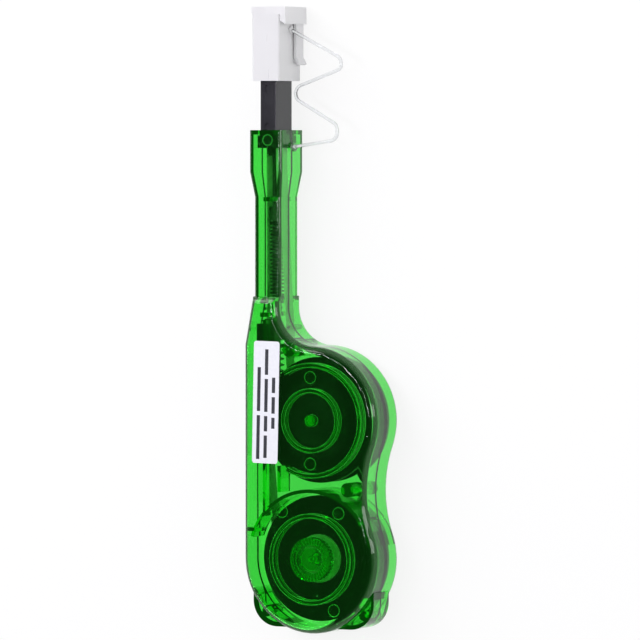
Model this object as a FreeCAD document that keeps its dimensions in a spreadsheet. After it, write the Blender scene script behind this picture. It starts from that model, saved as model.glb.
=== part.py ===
import FreeCAD, Part
import Sketcher

import math
import os
import re

# A push-type cleaning pen for multi-fibre connectors, in millimetres.
#
# The pen lies on its rear cover: X runs across it, Y along it towards the nose, and Z up through
# the front cover. The origin is on the rear face, midway between the two reel axles. Pushing the
# nose in drives a rack past a gear, which winds used tape onto the take-up reel while fresh tape
# leaves the supply reel, runs up the neck, over the cleaning head and back down.

document = FreeCAD.newDocument("CleaningPen")

# The driving dimensions. Each is set once here and read everywhere else from the sheet.
SIZES = {
    "Case": {
        "wall": 1.6,
        "seam_drop": 0.9,
        "roof_room": 3.0,
        "lobe_room": 2.5,
        "reel_apart": 4.6,
        "waist_radius": 47.0,
        "shoulder_radius": 14.0,
        "slant_rise": 0.2,
        "slant_length": 17.6,
        "edge_round": 3.0,
    },
    "Neck and collar": {
        "neck_set": 8.6,
        "neck_width": 10.8,
        "neck_depth": 14.5,
        "neck_wall": 1.5,
        "neck_round": 1.4,
        "neck_length": 36.2,
        "collar_taper": 9.1,
        "collar_length": 15.2,
        "collar_width": 13.3,
        "collar_depth": 17.6,
        "collar_lip": 1.6,
    },
    "Foot lugs": {
        "lug_set": 2.4,
        "lug_drop": 11.5,
        "lug_short": 1.9,
        "lug_round": 9.5,
        "lug_depth": 12.0,
        "lug_post_set_x": 4.8,
        "lug_post_set_y": 5.1,
        "lug_post_radius": 1.8,
        "lug_pin_radius": 0.75,
    },
    "Cover ribs": {
        "rib": 1.4,
        "drum_gap": 1.3,
        "drum_rib": 1.3,
        "drum_start": 12,
        "rear_drum_sweep": 126,
        "front_drum_sweep": 150,
        "fence_radius": 19.4,
        "fence_depth": 3.8,
        "fence_start": -118,
        "fence_sweep": 240,
        "ring_radius": 10.2,
        "ring_gap": 0.5,
        "plate_ring_set": 7.8,
        "plate_ring_depth": 3.6,
        "crown_outer": 8.0,
        "crown_inner": 5.4,
        "crown_depth": 3.7,
        "crown_teeth": 36,
        "crown_slot": 0.6,
        "crown_slot_depth": 1.2,
        "boss_radius": 4.1,
        "boss_depth": 2.2,
        "pad_radius": 2.2,
        "pad_height": 0.5,
        "pad_orbit": 15.7,
        "edge_pad_set": 2.3,
        "post_radius": 2.6,
        "press_pin_radius": 1.25,
        "press_pin_reach": 5.0,
        "press_gap": 0.05,
        "upper_post_x": 8.5,
        "upper_post_rise": 2.7,
        "middle_post_set": 11.7,
        "middle_post_y": 0.5,
        "link_width": 1.6,
        "link_length": 3.0,
        "left_link_rise": 9.6,
        "right_link_rise": 14.4,
        "right_link_set": 2.6,
        "clip_rise": 5.0,
        "clip_lift": 2.0,
        "stop_wall_gap": 0.9,
        "stop_wall_set": 6.8,
        "stop_wall_length": 9.5,
        "ledge_thickness": 0.6,
        "ledge_end": 3.0,
        "pin_root": 0.5,
        "seat_disc_gap": 0.1,
    },
    "Reels": {
        "reel_floor": 2.2,
        "flange_radius": 22.9,
        "flange_thickness": 1.0,
        "hub_radius": 6.5,
        "tape_width": 6.4,
        "tape_gap": 0.1,
        "takeup_pack_radius": 12.0,
        "supply_pack_set": 3.9,
        "axle_radius": 2.0,
        "axle_gap": 0.1,
        "stub_radius": 1.2,
        "stub_reach": 3.0,
        "detent_rim": 0.8,
        "finger_width": 1.4,
        "finger_length": 1.2,
    },
    "Drive": {
        "gear_module": 0.7,
        "gear_teeth": 42,
        "tooth_backlash": 0.24,
        "mesh_gap": 0.12,
        "gear_height": 4.5,
        "gear_web": 1.2,
        "gear_recess_radius": 11.5,
        "rack_lift": 0.2,
        "rack_height": 4.9,
        "rack_below": 13.6,
        "rack_short": 10.0,
        "rack_teeth": 17,
        "rack_set": 2.45,
        "runner_gap": 0.6,
        "runner_short": 3.4,
        "runner_thickness": 1.0,
        "guide_rib_width": 1.6,
        "guide_groove_depth": 1.1,
        "slide_gap": 0.3,
        "stroke": 14.0,
        "rail_reach": 7.4,
        "rack_lead": 4.5,
        "ratchet_radius": 6.4,
        "ratchet_teeth": 18,
        "ratchet_depth": 0.7,
        "ratchet_height": 2.6,
        "pawl_gap": 0.3,
        "pawl_width": 1.8,
        "pawl_tip": 0.8,
        "pawl_slope": 0.9,
    },
    "Push rod and spring": {
        "rod_radius": 1.1,
        "block_length": 1.8,
        "spring_set": 1.0,
        "spring_short": 8.7,
        "spring_radius": 1.9,
        "spring_wire": 0.5,
        "spring_coils": 23,
        "coil_sides": 9,
        "seat_radius": 2.1,
        "seat_length": 5.2,
        "tongue_half_width": 1.9,
        "tongue_thickness": 1.6,
        "low_tongue_set": 7.4,
        "high_tongue_set": 1.6,
    },
    "Nose": {
        "nose_width": 6.7,
        "nose_depth": 12.3,
        "nose_reach": 23.3,
        "nose_round": 0.5,
        "nose_bore_width": 4.7,
        "nose_bore_depth": 9.8,
        "flange_width": 8.2,
        "flange_set": 6.5,
        "flange_length": 4.6,
        "nose_gap": 0.2,
        "nose_pin_radius": 1.45,
        "nose_pin_rise": 1.1,
        "nose_pin_spacing": 13.9,
        "nose_pin_sink": 0.25,
    },
    "Cleaning head": {
        "carrier_thickness": 2.2,
        "carrier_width": 7.0,
        "carrier_set": 9.3,
        "carrier_short": 5.8,
        "head_thickness": 2.4,
        "head_tip_thickness": 1.9,
        "head_spring_length": 2.4,
        "head_body": 7.1,
        "head_slope": 0.6,
        "head_blade": 3.7,
        "head_travel": 1.5,
        "head_spring_radius": 0.85,
        "head_spring_wire": 0.3,
        "head_spring_coils": 4,
        "head_stem_radius": 0.5,
    },
    "Cleaning tape": {
        "tape_thickness": 0.12,
        "tape_clearance": 0.12,
        "strand_room": 0.75,
        "strand_margin": 0.45,
        "strand_entry": 4.0,
        "strand_step": 0.4,
        "strand_share": 0.3,
        "guide_pin_radius": 0.5,
        "guide_pin_set": 3.8,
        "guide_pin_drop": 4.6,
        "roller_radius": 1.1,
        "roller_pin_radius": 0.5,
        "roller_set": 4.4,
        "roller_drop": 12.0,
    },
    "Guide cap": {
        "cap_width": 11.4,
        "cap_depth": 16.8,
        "cap_overlap": 5.4,
        "cap_length": 24.0,
        "cap_round": 0.8,
        "cap_gap": 0.15,
        "cap_ledge_gap": 0.2,
        "cap_ledge_thickness": 1.4,
        "cap_ledge_width": 5.2,
        "cap_ledge_depth": 10.6,
        "lid_thickness": 2.9,
        "lid_pivot": 0.8,
        "lid_overhang": 2.4,
        "lid_skirt": 3.4,
        "lid_skirt_slope": 1.2,
        "lid_plug": 0.9,
        "lid_gap": 0.3,
        "lever_offset": 0.6,
        "lever_thickness": 0.95,
        "lever_foot_gap": 0.2,
        "lever_flare": 1.4,
        "lever_slope": 2.5,
        "lever_heel": 0.4,
        "lever_inset": 0.8,
        "lever_depth": 5.6,
    },
    "Tether and label": {
        "tether_radius": 0.62,
        "tether_drop": 5.4,
        "button_radius": 1.7,
        "button_thickness": 0.9,
        "button_drop": 6.1,
        "button_stem": 0.8,
        "tether_pad": 0.9,
        "tether_start": 0.45,
        "anchor_half": 1.2,
        "label_width": 10.5,
        "label_length": 44.5,
        "label_thickness": 0.12,
        "label_round": 1.0,
        "label_shift": 1.0,
        "label_rise": 6.4,
        "label_tilt": 1.2,
    },
}

# Places that follow from the sizes.
PLACES = {
    "reel_spacing": "2 * flange_radius + reel_apart",
    "takeup_y": "reel_spacing / 2",
    "supply_y": "-reel_spacing / 2",
    "lobe_radius": "flange_radius + lobe_room + wall",
    "left_inner": "-lobe_radius + wall",
    "slant_start": "takeup_y + lobe_radius + slant_rise",
    "block_end": "slant_start + slant_length",
    "reel_top": "reel_floor + 2 * flange_thickness + tape_width",
    "upper_flange_low": "reel_top - flange_thickness",
    "supply_pack_radius": "flange_radius - supply_pack_set",
    "gear_low": "reel_top + slide_gap",
    "gear_high": "gear_low + gear_height",
    "seam_height": "gear_low - seam_drop",
    "front_inner": "gear_high + roof_room",
    "case_depth": "front_inner + wall",
    "middle_height": "case_depth / 2",
    "neck_offset": "lobe_radius - neck_set",
    "neck_x": "-neck_offset",
    "neck_left": "neck_x - neck_width / 2",
    "neck_right": "neck_x + neck_width / 2",
    "collar_start": "block_end + neck_length",
    "collar_full": "collar_start + collar_taper",
    "collar_end": "collar_full + collar_length",
    "collar_right": "neck_x + collar_width / 2",
    "lug_reach": "lobe_radius - lug_set",
    "lug_rise": "reel_spacing / 2 + lug_drop",
    "lug_foot": "reel_spacing / 2 + lobe_radius - lug_short",
    "lug_post_x": "lug_reach - lug_post_set_x",
    "lug_post_y": "lug_foot - lug_post_set_y",
    "fence_low": "front_inner - fence_depth",
    "ring_low": "gear_high + ring_gap",
    "plate_ring_radius": "flange_radius - plate_ring_set",
    "plate_ring_low": "front_inner - plate_ring_depth",
    "crown_low": "front_inner - crown_depth",
    "boss_low": "front_inner - boss_depth",
    "edge_pad_orbit": "flange_radius - edge_pad_set",
    "upper_post_y": "takeup_y + flange_radius + upper_post_rise",
    "middle_post_x": "lobe_radius - middle_post_set",
    "pitch_radius": "gear_module * gear_teeth / 2",
    "tooth_pitch": "gear_module * pi",
    "rack_pitch_x": "-pitch_radius - mesh_gap",
    "rack_low": "gear_low + rack_lift",
    "rack_high": "rack_low + rack_height",
    "rack_bottom": "takeup_y - rack_below",
    "rack_top": "block_end - rack_short",
    "rack_left": "-left_inner - rack_set",
    "runner_reach": "-left_inner - runner_gap",
    "rod_height": "middle_height",
    "spring_foot": "block_end - spring_set",
    "spring_head": "collar_start - spring_short",
    "low_tongue": "block_end - low_tongue_set",
    "high_tongue": "collar_start - high_tongue_set",
    "nose_end": "collar_end + nose_reach",
    "flange_low": "collar_end - flange_set",
    "flange_high": "flange_low + flange_length",
    "nose_pin_low": "collar_end + nose_pin_rise",
    "nose_pin_high": "nose_pin_low + nose_pin_spacing",
    "carrier_low": "collar_end - carrier_set",
    "carrier_high": "nose_end - carrier_short",
    "head_low": "carrier_high + head_spring_length",
    "head_shoulder": "head_low + head_body",
    "head_tip": "head_shoulder + head_blade",
    "guide_pin_x": "neck_offset + guide_pin_set",
    "guide_pin_y": "block_end - guide_pin_drop",
    "roller_x": "neck_offset - roller_set",
    "roller_y": "block_end - roller_drop",
    "cap_left": "neck_x - cap_width / 2",
    "cap_right": "neck_x + cap_width / 2",
    "cap_low": "nose_end - cap_overlap",
    "cap_high": "cap_low + cap_length",
    "cap_ledge_low": "nose_end + cap_ledge_gap",
    "lid_high": "cap_high + lid_thickness",
    "lever_left": "cap_right + lever_offset",
    "lever_right": "lever_left + lever_thickness",
    "lever_low": "cap_ledge_low + lever_foot_gap",
    "tether_height": "middle_height",
    "button_y": "collar_end - button_drop",
    "label_x": "neck_x + label_shift",
    "label_y": "takeup_y + label_rise",
}


def fill_sheet(name, rows):
    """Make a sheet with one named cell a row.

    Args:
        name: The sheet's name.
        rows: Pairs of an alias and the text of its cell.

    Returns:
        The new sheet.
    """
    sheet = document.addObject("Spreadsheet::Sheet", name)
    for number, (alias, text) in enumerate(rows, start=1):
        sheet.set(f"A{number}", alias)
        sheet.set(f"B{number}", text)
        sheet.setAlias(f"B{number}", alias)
    return sheet


def qualified(text, local=()):
    """Give each size or place that a formula names the sheet that holds it."""

    def with_sheet(match):
        word = match.group()
        if word in SIZE_NAMES:
            return "Sizes." + word
        if word in PLACES and word not in local:
            return "Places." + word
        return word

    return re.sub(r"[a-z][a-z_]*", with_sheet, text)


SIZE_NAMES = {alias for group in SIZES.values() for alias in group}
sizes = fill_sheet("Sizes", [(alias, str(size)) for group in SIZES.values() for alias, size in group.items()])
places = fill_sheet("Places", [(alias, "=" + qualified(text, PLACES)) for alias, text in PLACES.items()])
document.recompute()


def value(alias):
    """Read one named size or place as a plain number."""
    sheet = sizes if alias in SIZE_NAMES else places
    return float(sheet.get(alias))


def bind(item, **formulas):
    """Tie properties of an object to formulas of the sheets; a double underscore stands for a dot."""
    for path, text in formulas.items():
        item.setExpression(path.replace("__", "."), qualified(text))


def place(item, x="0", y="0", z="0"):
    """Tie an object's position to three formulas."""
    bind(item, Placement__Base__x=x, Placement__Base__y=y, Placement__Base__z=z)
    return item


# Part primitives and booleans.


def flat_faced(name, rings):
    """Make a long solid with flat faces through rings of corners, closed at both ends.

    Args:
        name: The feature's name.
        rings: Lists of corners, all of one length, from one end of the solid to the other.

    Returns:
        A feature whose sides are parted into triangles, so that each of its faces is flat.
    """
    outlines = [rings[0], rings[-1]]
    for ring, following in zip(rings, rings[1:]):
        for corner, over, next_corner, next_over in zip(
            ring, ring[1:] + ring[:1], following, following[1:] + following[:1]
        ):
            outlines.append([corner, over, next_over])
            outlines.append([corner, next_over, next_corner])
    skin = Part.makeShell([Part.Face(Part.makePolygon(outline + outline[:1])) for outline in outlines])
    skin.sewShape()
    solid = Part.makeSolid(skin)
    item = document.addObject("Part::Feature", name)
    item.Shape = solid if solid.Volume > 0 else solid.reversed()
    return item


def box(name, x, y, z, length, width, height):
    """Make a block from its lowest corner and its three sizes."""
    item = document.addObject("Part::Box", name)
    bind(item, Length=length, Width=width, Height=height)
    return place(item, x, y, z)


def disc(name, x, y, z, radius, height, start="0", sweep="360"):
    """Make an upright cylinder, or a sector of one that begins at an angle."""
    item = document.addObject("Part::Cylinder", name)
    bind(item, Radius=radius, Height=height, Angle=sweep, Placement__Rotation__Angle=start)
    return place(item, x, y, z)


def bar(name, axis, x, y, z, radius, height):
    """Make a cylinder that lies along X or Y."""
    item = document.addObject("Part::Cylinder", name)
    bind(item, Radius=radius, Height=height)
    turn = {"x": FreeCAD.Rotation(0, 90, 0), "y": FreeCAD.Rotation(FreeCAD.Vector(1, 0, 0), -90)}[axis]
    item.Placement = FreeCAD.Placement(FreeCAD.Vector(), turn)
    return place(item, x, y, z)


def fuse(name, *parts):
    """Join shapes into one."""
    item = document.addObject("Part::MultiFuse", name)
    item.Shapes = list(parts)
    return item


def cut(name, base, tool):
    """Take one shape away from another."""
    item = document.addObject("Part::Cut", name)
    item.Base = base
    item.Tool = tool
    return item


def common(name, *parts):
    """Keep what shapes share."""
    item = document.addObject("Part::MultiCommon", name)
    item.Shapes = list(parts)
    return item


def tube(name, x, y, z, outer, inner, height, start="0", sweep="360"):
    """Make an upright ring, or an arc of one that begins at an angle."""
    shell = disc(name + "_outer", x, y, z, outer, height, start, sweep)
    hollow = disc(name + "_inner", x, y, z, inner, height)
    return cut(name, shell, hollow)


# PartDesign bodies. Sketches lie on a body's own origin planes, and features grow along +X, +Y or +Z.

PLANES = {"x": "YZ_Plane", "y": "XZ_Plane", "z": "XY_Plane"}


def new_body(name):
    """Make an empty body."""
    return document.addObject("PartDesign::Body", name)


def new_sketch(body, name, axis, start="0"):
    """Make a sketch across an axis, at a height along it."""
    sketch = body.newObject("Sketcher::SketchObject", name)
    plane = next(item for item in body.Origin.OriginFeatures if item.Role == PLANES[axis])
    sketch.AttachmentSupport = [(plane, "")]
    sketch.MapMode = "FlatFace"
    bind(sketch, AttachmentOffset__Base__z=f"-({start})" if axis == "y" else start)
    return sketch


def dimension(sketch, kind, text, *where, drawn=1.0):
    """Add a dimension to a sketch as it is drawn, and tie it to a formula."""
    index = sketch.addConstraint(Sketcher.Constraint(kind, *where, drawn))
    sketch.setExpression(f"Constraints[{index}]", qualified(text))


def pin_point(sketch, geometry, point, across, up):
    """Fix a point of a sketch at two formulas from its origin."""
    dimension(sketch, "DistanceX", across, -1, 1, geometry, point)
    dimension(sketch, "DistanceY", up, -1, 1, geometry, point)


def polygon(body, name, axis, corners, start="0"):
    """Sketch a closed outline of straight lines, with each corner tied to two formulas."""
    sketch = new_sketch(body, name, axis, start)
    count = len(corners)
    round_trip = [2 * math.pi * index / count for index in range(count + 1)]
    loose = [FreeCAD.Vector(10 * math.cos(turn), 10 * math.sin(turn), 0) for turn in round_trip]
    for first, second in zip(loose, loose[1:]):
        sketch.addGeometry(Part.LineSegment(first, second), False)
    for index in range(count):
        sketch.addConstraint(Sketcher.Constraint("Coincident", index, 2, (index + 1) % count, 1))
    for index, (across, up) in enumerate(corners):
        pin_point(sketch, index, 1, across, up)
    return sketch


def circle(body, name, axis, across, up, radius, start="0"):
    """Sketch a circle."""
    sketch = new_sketch(body, name, axis, start)
    sketch.addGeometry(Part.Circle(FreeCAD.Vector(), FreeCAD.Vector(0, 0, 1), 1.0), False)
    dimension(sketch, "Radius", radius, 0)
    pin_point(sketch, 0, 3, across, up)
    return sketch


def pad(body, sketch, axis, length):
    """Grow a sketch along its axis."""
    feature = body.newObject("PartDesign::Pad", sketch.Name + "_pad")
    feature.Profile = sketch
    feature.Reversed = axis == "y"
    bind(feature, Length=length)
    return feature


def pocket(body, sketch, axis, length):
    """Cut a sketch out along its axis, and make sure that it took something away."""
    document.recompute()
    before = body.Shape.Volume
    feature = body.newObject("PartDesign::Pocket", sketch.Name + "_pocket")
    feature.Profile = sketch
    feature.Reversed = axis != "y"
    bind(feature, Length=length)
    document.recompute()
    if body.Shape.Volume > before - 1e-6:
        raise ValueError(f"{feature.Name} cuts nothing")
    return feature


def revolve(body, sketch):
    """Turn a sketch on the XZ plane about the body's Z axis."""
    feature = body.newObject("PartDesign::Revolution", sketch.Name + "_turned")
    feature.Profile = sketch
    feature.ReferenceAxis = (sketch, ["V_Axis"])
    feature.Angle = 360.0
    return feature


def polar(body, feature, copies):
    """Repeat a feature round the body's Z axis."""
    pattern = body.newObject("PartDesign::PolarPattern", feature.Name + "_round")
    pattern.Originals = [feature]
    axis = next(item for item in body.Origin.OriginFeatures if item.Role == "Z_Axis")
    pattern.Axis = (axis, [""])
    pattern.Angle = 360
    bind(pattern, Occurrences=copies)
    body.Tip = pattern
    return pattern


def rectangle(left, right, low, high):
    """Give the corners of a rectangle."""
    return [(left, low), (right, low), (right, high), (left, high)]


def block(name, axis, corners, start, length):
    """Make a body that is one outline grown along an axis."""
    body = new_body(name)
    pad(body, polygon(body, name + "_outline", axis, corners, start), axis, length)
    document.recompute()
    return body


def round_edges(body, radius, chosen):
    """Round the edges of a body's newest feature that a test picks."""
    document.recompute()
    base = body.Tip
    names = [f"Edge{number}" for number, edge in enumerate(base.Shape.Edges, start=1) if chosen(edge)]
    feature = body.newObject("PartDesign::Fillet", body.Name + "_round")
    feature.Base = (base, names)
    bind(feature, Radius=radius)
    body.Tip = feature
    document.recompute()
    return feature


def runs_along(axis):
    """Give a test for straight edges that run along an axis."""
    along = {"x": FreeCAD.Vector(1, 0, 0), "y": FreeCAD.Vector(0, 1, 0), "z": FreeCAD.Vector(0, 0, 1)}[axis]

    def chosen(edge):
        return abs(edge.tangentAt(edge.FirstParameter).dot(along)) > 0.999 and len(edge.Vertexes) == 2

    return chosen


# The case: one block for the two reels, a neck and a collar, and two foot lugs.


def sketch_case_outline(body, inset):
    """Sketch the plan of the reel block, drawn in from its outer face by an inset.

    Args:
        body: The body that gets the sketch.
        inset: The name of the wall to draw in by, or "0".

    Returns:
        The sketch, fully constrained.
    """
    sketch = new_sketch(body, body.Name + "_plan", "z")
    step = 0.0 if inset == "0" else value(inset)
    lobe = value("lobe_radius") - step
    waist = value("waist_radius") + step
    shoulder = value("shoulder_radius") + step
    upper, lower = value("takeup_y"), value("supply_y")
    neck_right = value("neck_right") - step
    neck_left = value("neck_left") + step
    end = value("block_end") - step
    low = value("slant_start")
    waist_turn = math.asin(upper / (lobe + waist))
    waist_x = (lobe + waist) * math.cos(waist_turn)
    shoulder_x = neck_right + shoulder
    shoulder_turn = math.asin(shoulder_x / (lobe + shoulder))
    shoulder_y = upper + (lobe + shoulder) * math.cos(shoulder_turn)
    up = FreeCAD.Vector(0, 0, 1)

    def arc(x, y, radius, first, last):
        ring = Part.Circle(FreeCAD.Vector(x, y, 0), up, radius)
        return sketch.addGeometry(Part.ArcOfCircle(ring, first, last), False)

    def line(x_first, y_first, x_last, y_last):
        first, last = FreeCAD.Vector(x_first, y_first, 0), FreeCAD.Vector(x_last, y_last, 0)
        return sketch.addGeometry(Part.LineSegment(first, last), False)

    lower_lobe = arc(0, lower, lobe, math.pi, 2 * math.pi + waist_turn)
    waist_arc = arc(waist_x, 0, waist, math.pi - waist_turn, math.pi + waist_turn)
    upper_lobe = arc(0, upper, lobe, -waist_turn, math.pi / 2 - shoulder_turn)
    shoulder_arc = arc(shoulder_x, shoulder_y, shoulder, math.pi, 1.5 * math.pi - shoulder_turn)
    neck_side = line(neck_right, shoulder_y, neck_right, end)
    top = line(neck_right, end, neck_left, end)
    slant = line(neck_left, end, -lobe, low)
    left_side = line(-lobe, low, -lobe, lower)
    joins = (
        ("Tangent", lower_lobe, 2, waist_arc, 2),
        ("Tangent", waist_arc, 1, upper_lobe, 1),
        ("Tangent", upper_lobe, 2, shoulder_arc, 2),
        ("Tangent", shoulder_arc, 1, neck_side, 1),
        ("Tangent", left_side, 2, lower_lobe, 1),
        ("Coincident", neck_side, 2, top, 1),
        ("Coincident", top, 2, slant, 1),
        ("Coincident", slant, 2, left_side, 1),
        ("Vertical", neck_side),
        ("Vertical", left_side),
        ("Horizontal", top),
    )
    for join in joins:
        sketch.addConstraint(Sketcher.Constraint(*join))
    for kind, text, where, drawn in (
        ("Radius", f"lobe_radius - {inset}", (lower_lobe,), lobe),
        ("Radius", f"waist_radius + {inset}", (waist_arc,), waist),
        ("Radius", f"lobe_radius - {inset}", (upper_lobe,), lobe),
        ("Radius", f"shoulder_radius + {inset}", (shoulder_arc,), shoulder),
        ("DistanceX", "0", (-1, 1, lower_lobe, 3), 0.0),
        ("DistanceY", "supply_y", (-1, 1, lower_lobe, 3), lower),
        ("DistanceX", "0", (-1, 1, upper_lobe, 3), 0.0),
        ("DistanceY", "takeup_y", (-1, 1, upper_lobe, 3), upper),
        ("DistanceX", f"neck_right - {inset}", (-1, 1, top, 1), neck_right),
        ("DistanceY", f"block_end - {inset}", (-1, 1, top, 1), end),
        ("DistanceX", f"neck_left + {inset}", (-1, 1, top, 2), neck_left),
        ("DistanceY", "slant_start", (-1, 1, slant, 2), low),
    ):
        dimension(sketch, kind, text, *where, drawn=drawn)
    return sketch


def make_case_block():
    """Make the outside of the reel block, with its front and rear edges rounded."""
    body = new_body("case_block")
    pad(body, sketch_case_outline(body, "0"), "z", "case_depth")

    def on_a_face(edge):
        return edge.BoundBox.ZLength < 1e-6

    round_edges(body, "edge_round", on_a_face)
    return body


def make_case_hollow():
    """Make the space inside the reel block."""
    body = new_body("case_hollow")
    outline = sketch_case_outline(body, "wall")
    bind(outline, AttachmentOffset__Base__z="wall")
    pad(body, outline, "z", "case_depth - 2 * wall")
    return body


def stem_section(width, depth, inset):
    """Give the corners of a section round the neck axis, drawn in by a wall."""
    half, rise = f"({width} / 2 - {inset})", f"({depth} / 2 - {inset})"
    left, right = f"neck_x - {half}", f"neck_x + {half}"
    return rectangle(left, right, f"middle_height - {rise}", f"middle_height + {rise}")


def stem_stations(low, high):
    """Give where the neck and collar change section, with the width and depth there."""
    return (
        (low, "neck_width", "neck_depth"),
        ("collar_start", "neck_width", "neck_depth"),
        ("collar_full", "collar_width", "collar_depth"),
        (high, "collar_width", "collar_depth"),
    )


def loft_through(body, sections):
    """Join sections with straight-sided lofts."""
    loft = body.newObject("PartDesign::AdditiveLoft", body.Name + "_loft")
    loft.Profile = sections[0]
    loft.Sections = sections[1:]
    loft.Ruled = True
    document.recompute()
    return body


def sketch_rounded_section(body, name, width, depth, start):
    """Sketch a rectangle with round corners, centred on the neck axis."""
    sketch = new_sketch(body, name, "y", start)
    centre_x, centre_z = value("neck_x"), value("middle_height")
    half, rise, bend = value(width) / 2, value(depth) / 2, value("neck_round")
    up = FreeCAD.Vector(0, 0, 1)
    turns = [(1, 1), (-1, 1), (-1, -1), (1, -1)]
    arcs = []
    for number, (right, high) in enumerate(turns):
        middle = FreeCAD.Vector(centre_x + right * (half - bend), centre_z + high * (rise - bend), 0)
        ring = Part.Circle(middle, up, bend)
        first = number * math.pi / 2
        arcs.append(sketch.addGeometry(Part.ArcOfCircle(ring, first, first + math.pi / 2), False))
    sides = []
    for first, second in zip(arcs, arcs[1:] + arcs[:1]):
        start_point, end_point = sketch.Geometry[first].EndPoint, sketch.Geometry[second].StartPoint
        sides.append(sketch.addGeometry(Part.LineSegment(start_point, end_point), False))
    for side, first, second in zip(sides, arcs, arcs[1:] + arcs[:1]):
        sketch.addConstraint(Sketcher.Constraint("Tangent", first, 2, side, 1))
        sketch.addConstraint(Sketcher.Constraint("Tangent", side, 2, second, 1))
    for side, kind in zip(sides, ("Horizontal", "Vertical") * 2):
        sketch.addConstraint(Sketcher.Constraint(kind, side))
    for other in arcs[1:]:
        sketch.addConstraint(Sketcher.Constraint("Equal", arcs[0], other))
    dimension(sketch, "Radius", "neck_round", arcs[0], drawn=bend)
    for kind, text, side, drawn in (
        ("DistanceY", f"middle_height + {depth} / 2", sides[0], centre_z + rise),
        ("DistanceX", f"neck_x - {width} / 2", sides[1], centre_x - half),
        ("DistanceY", f"middle_height - {depth} / 2", sides[2], centre_z - rise),
        ("DistanceX", f"neck_x + {width} / 2", sides[3], centre_x + half),
    ):
        dimension(sketch, kind, text, -1, 1, side, 1, drawn=drawn)
    return sketch


def make_stem():
    """Make the outside of the neck and the collar."""
    body = new_body("case_stem")
    stations = stem_stations("block_end - wall", "collar_end")
    sections = [
        sketch_rounded_section(body, f"stem_section_{number}", width, depth, y)
        for number, (y, width, depth) in enumerate(stations)
    ]
    return loft_through(body, sections)


def make_stem_hollow():
    """Make the space inside the neck and the collar, up to the collar's lip."""
    body = new_body("stem_hollow")
    stations = stem_stations("block_end - wall - slide_gap", "collar_end - collar_lip")
    sections = [
        polygon(body, f"hollow_section_{number}", "y", stem_section(width, depth, "neck_wall"), y)
        for number, (y, width, depth) in enumerate(stations)
    ]
    return loft_through(body, sections)


def make_lugs(name, inset, rounding):
    """Make the block of both foot lugs, or the space inside them, with round outer corners."""
    corners = rectangle(
        f"-lug_reach + {inset}",
        f"lug_reach - {inset}",
        f"-lug_foot + {inset}",
        f"-lug_rise - {inset}",
    )
    body = block(name, "z", corners, f"middle_height - lug_depth / 2 + {inset}", f"lug_depth - 2 * {inset}")
    upright = runs_along("z")
    edge_y = -(value("lug_foot") + value("lug_rise")) / 2
    round_edges(body, rounding, lambda edge: upright(edge) and edge.BoundBox.YMax < edge_y)
    return body


def make_case_shell():
    """Make the whole hollow case before it is parted at the seam."""
    lugs = make_lugs("case_lugs", "0", "lug_round")
    outside = fuse("case_outside", make_case_block(), make_stem(), lugs)
    lug_space = cut(
        "lug_space",
        make_lugs("lug_hollow", "wall", "lug_round - wall"),
        disc("lobe_core", "0", "supply_y", "0", "lobe_radius", "case_depth"),
    )
    stem_space = make_stem_hollow()
    mouth = box(
        "collar_mouth",
        "neck_x - nose_width / 2 - nose_gap",
        "collar_end - 2 * collar_lip",
        "middle_height - nose_depth / 2 - nose_gap",
        "nose_width + 2 * nose_gap",
        "3 * collar_lip",
        "nose_depth + 2 * nose_gap",
    )
    button_hole = bar(
        "button_hole",
        "x",
        "neck_x + nose_width / 2 + nose_gap",
        "button_y",
        "tether_height",
        "button_stem + press_gap",
        "collar_width",
    )
    inside = fuse("case_inside", make_case_hollow(), lug_space, stem_space, mouth, button_hole)
    return outside, cut("case_shell", outside, inside)


# The posts that press the two covers together: a name and a place.
POSTS = (
    ("upper_post", "-upper_post_x", "upper_post_y"),
    ("middle_post", "middle_post_x", "middle_post_y"),
    ("left_lug_post", "-lug_post_x", "-lug_post_y"),
    ("right_lug_post", "lug_post_x", "-lug_post_y"),
)


def post_radius(name):
    """Give the radius of a press post, which is smaller in a lug."""
    return "lug_post_radius" if "lug" in name else "post_radius"


def pin_radius(name):
    """Give the radius of the pin on a press post."""
    return "lug_pin_radius" if "lug" in name else "press_pin_radius"


def post_inset(name):
    """Give how far inside the outer faces a press post ends."""
    return "middle_height - lug_depth / 2 + wall / 2" if "lug" in name else "wall / 2"


def make_tongues(side, low, height):
    """Make the tongues that hold and stop the push rod, on one cover."""
    tongues = []
    for number, start in enumerate(("low_tongue", "spring_foot - tongue_thickness", "high_tongue")):
        tongue = box(
            f"{side}_tongue_{number}",
            "neck_x - tongue_half_width",
            start,
            low,
            "2 * tongue_half_width",
            "tongue_thickness",
            height,
        )
        tongues.append(tongue)
    rod_hole = bar(
        f"{side}_rod_hole",
        "y",
        "neck_x",
        "low_tongue - tongue_thickness / 2",
        "rod_height",
        "rod_radius + slide_gap",
        "high_tongue + 2 * tongue_thickness - low_tongue",
    )
    return cut(f"{side}_tongues", fuse(f"{side}_tongue_set", *tongues), rod_hole)


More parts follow.
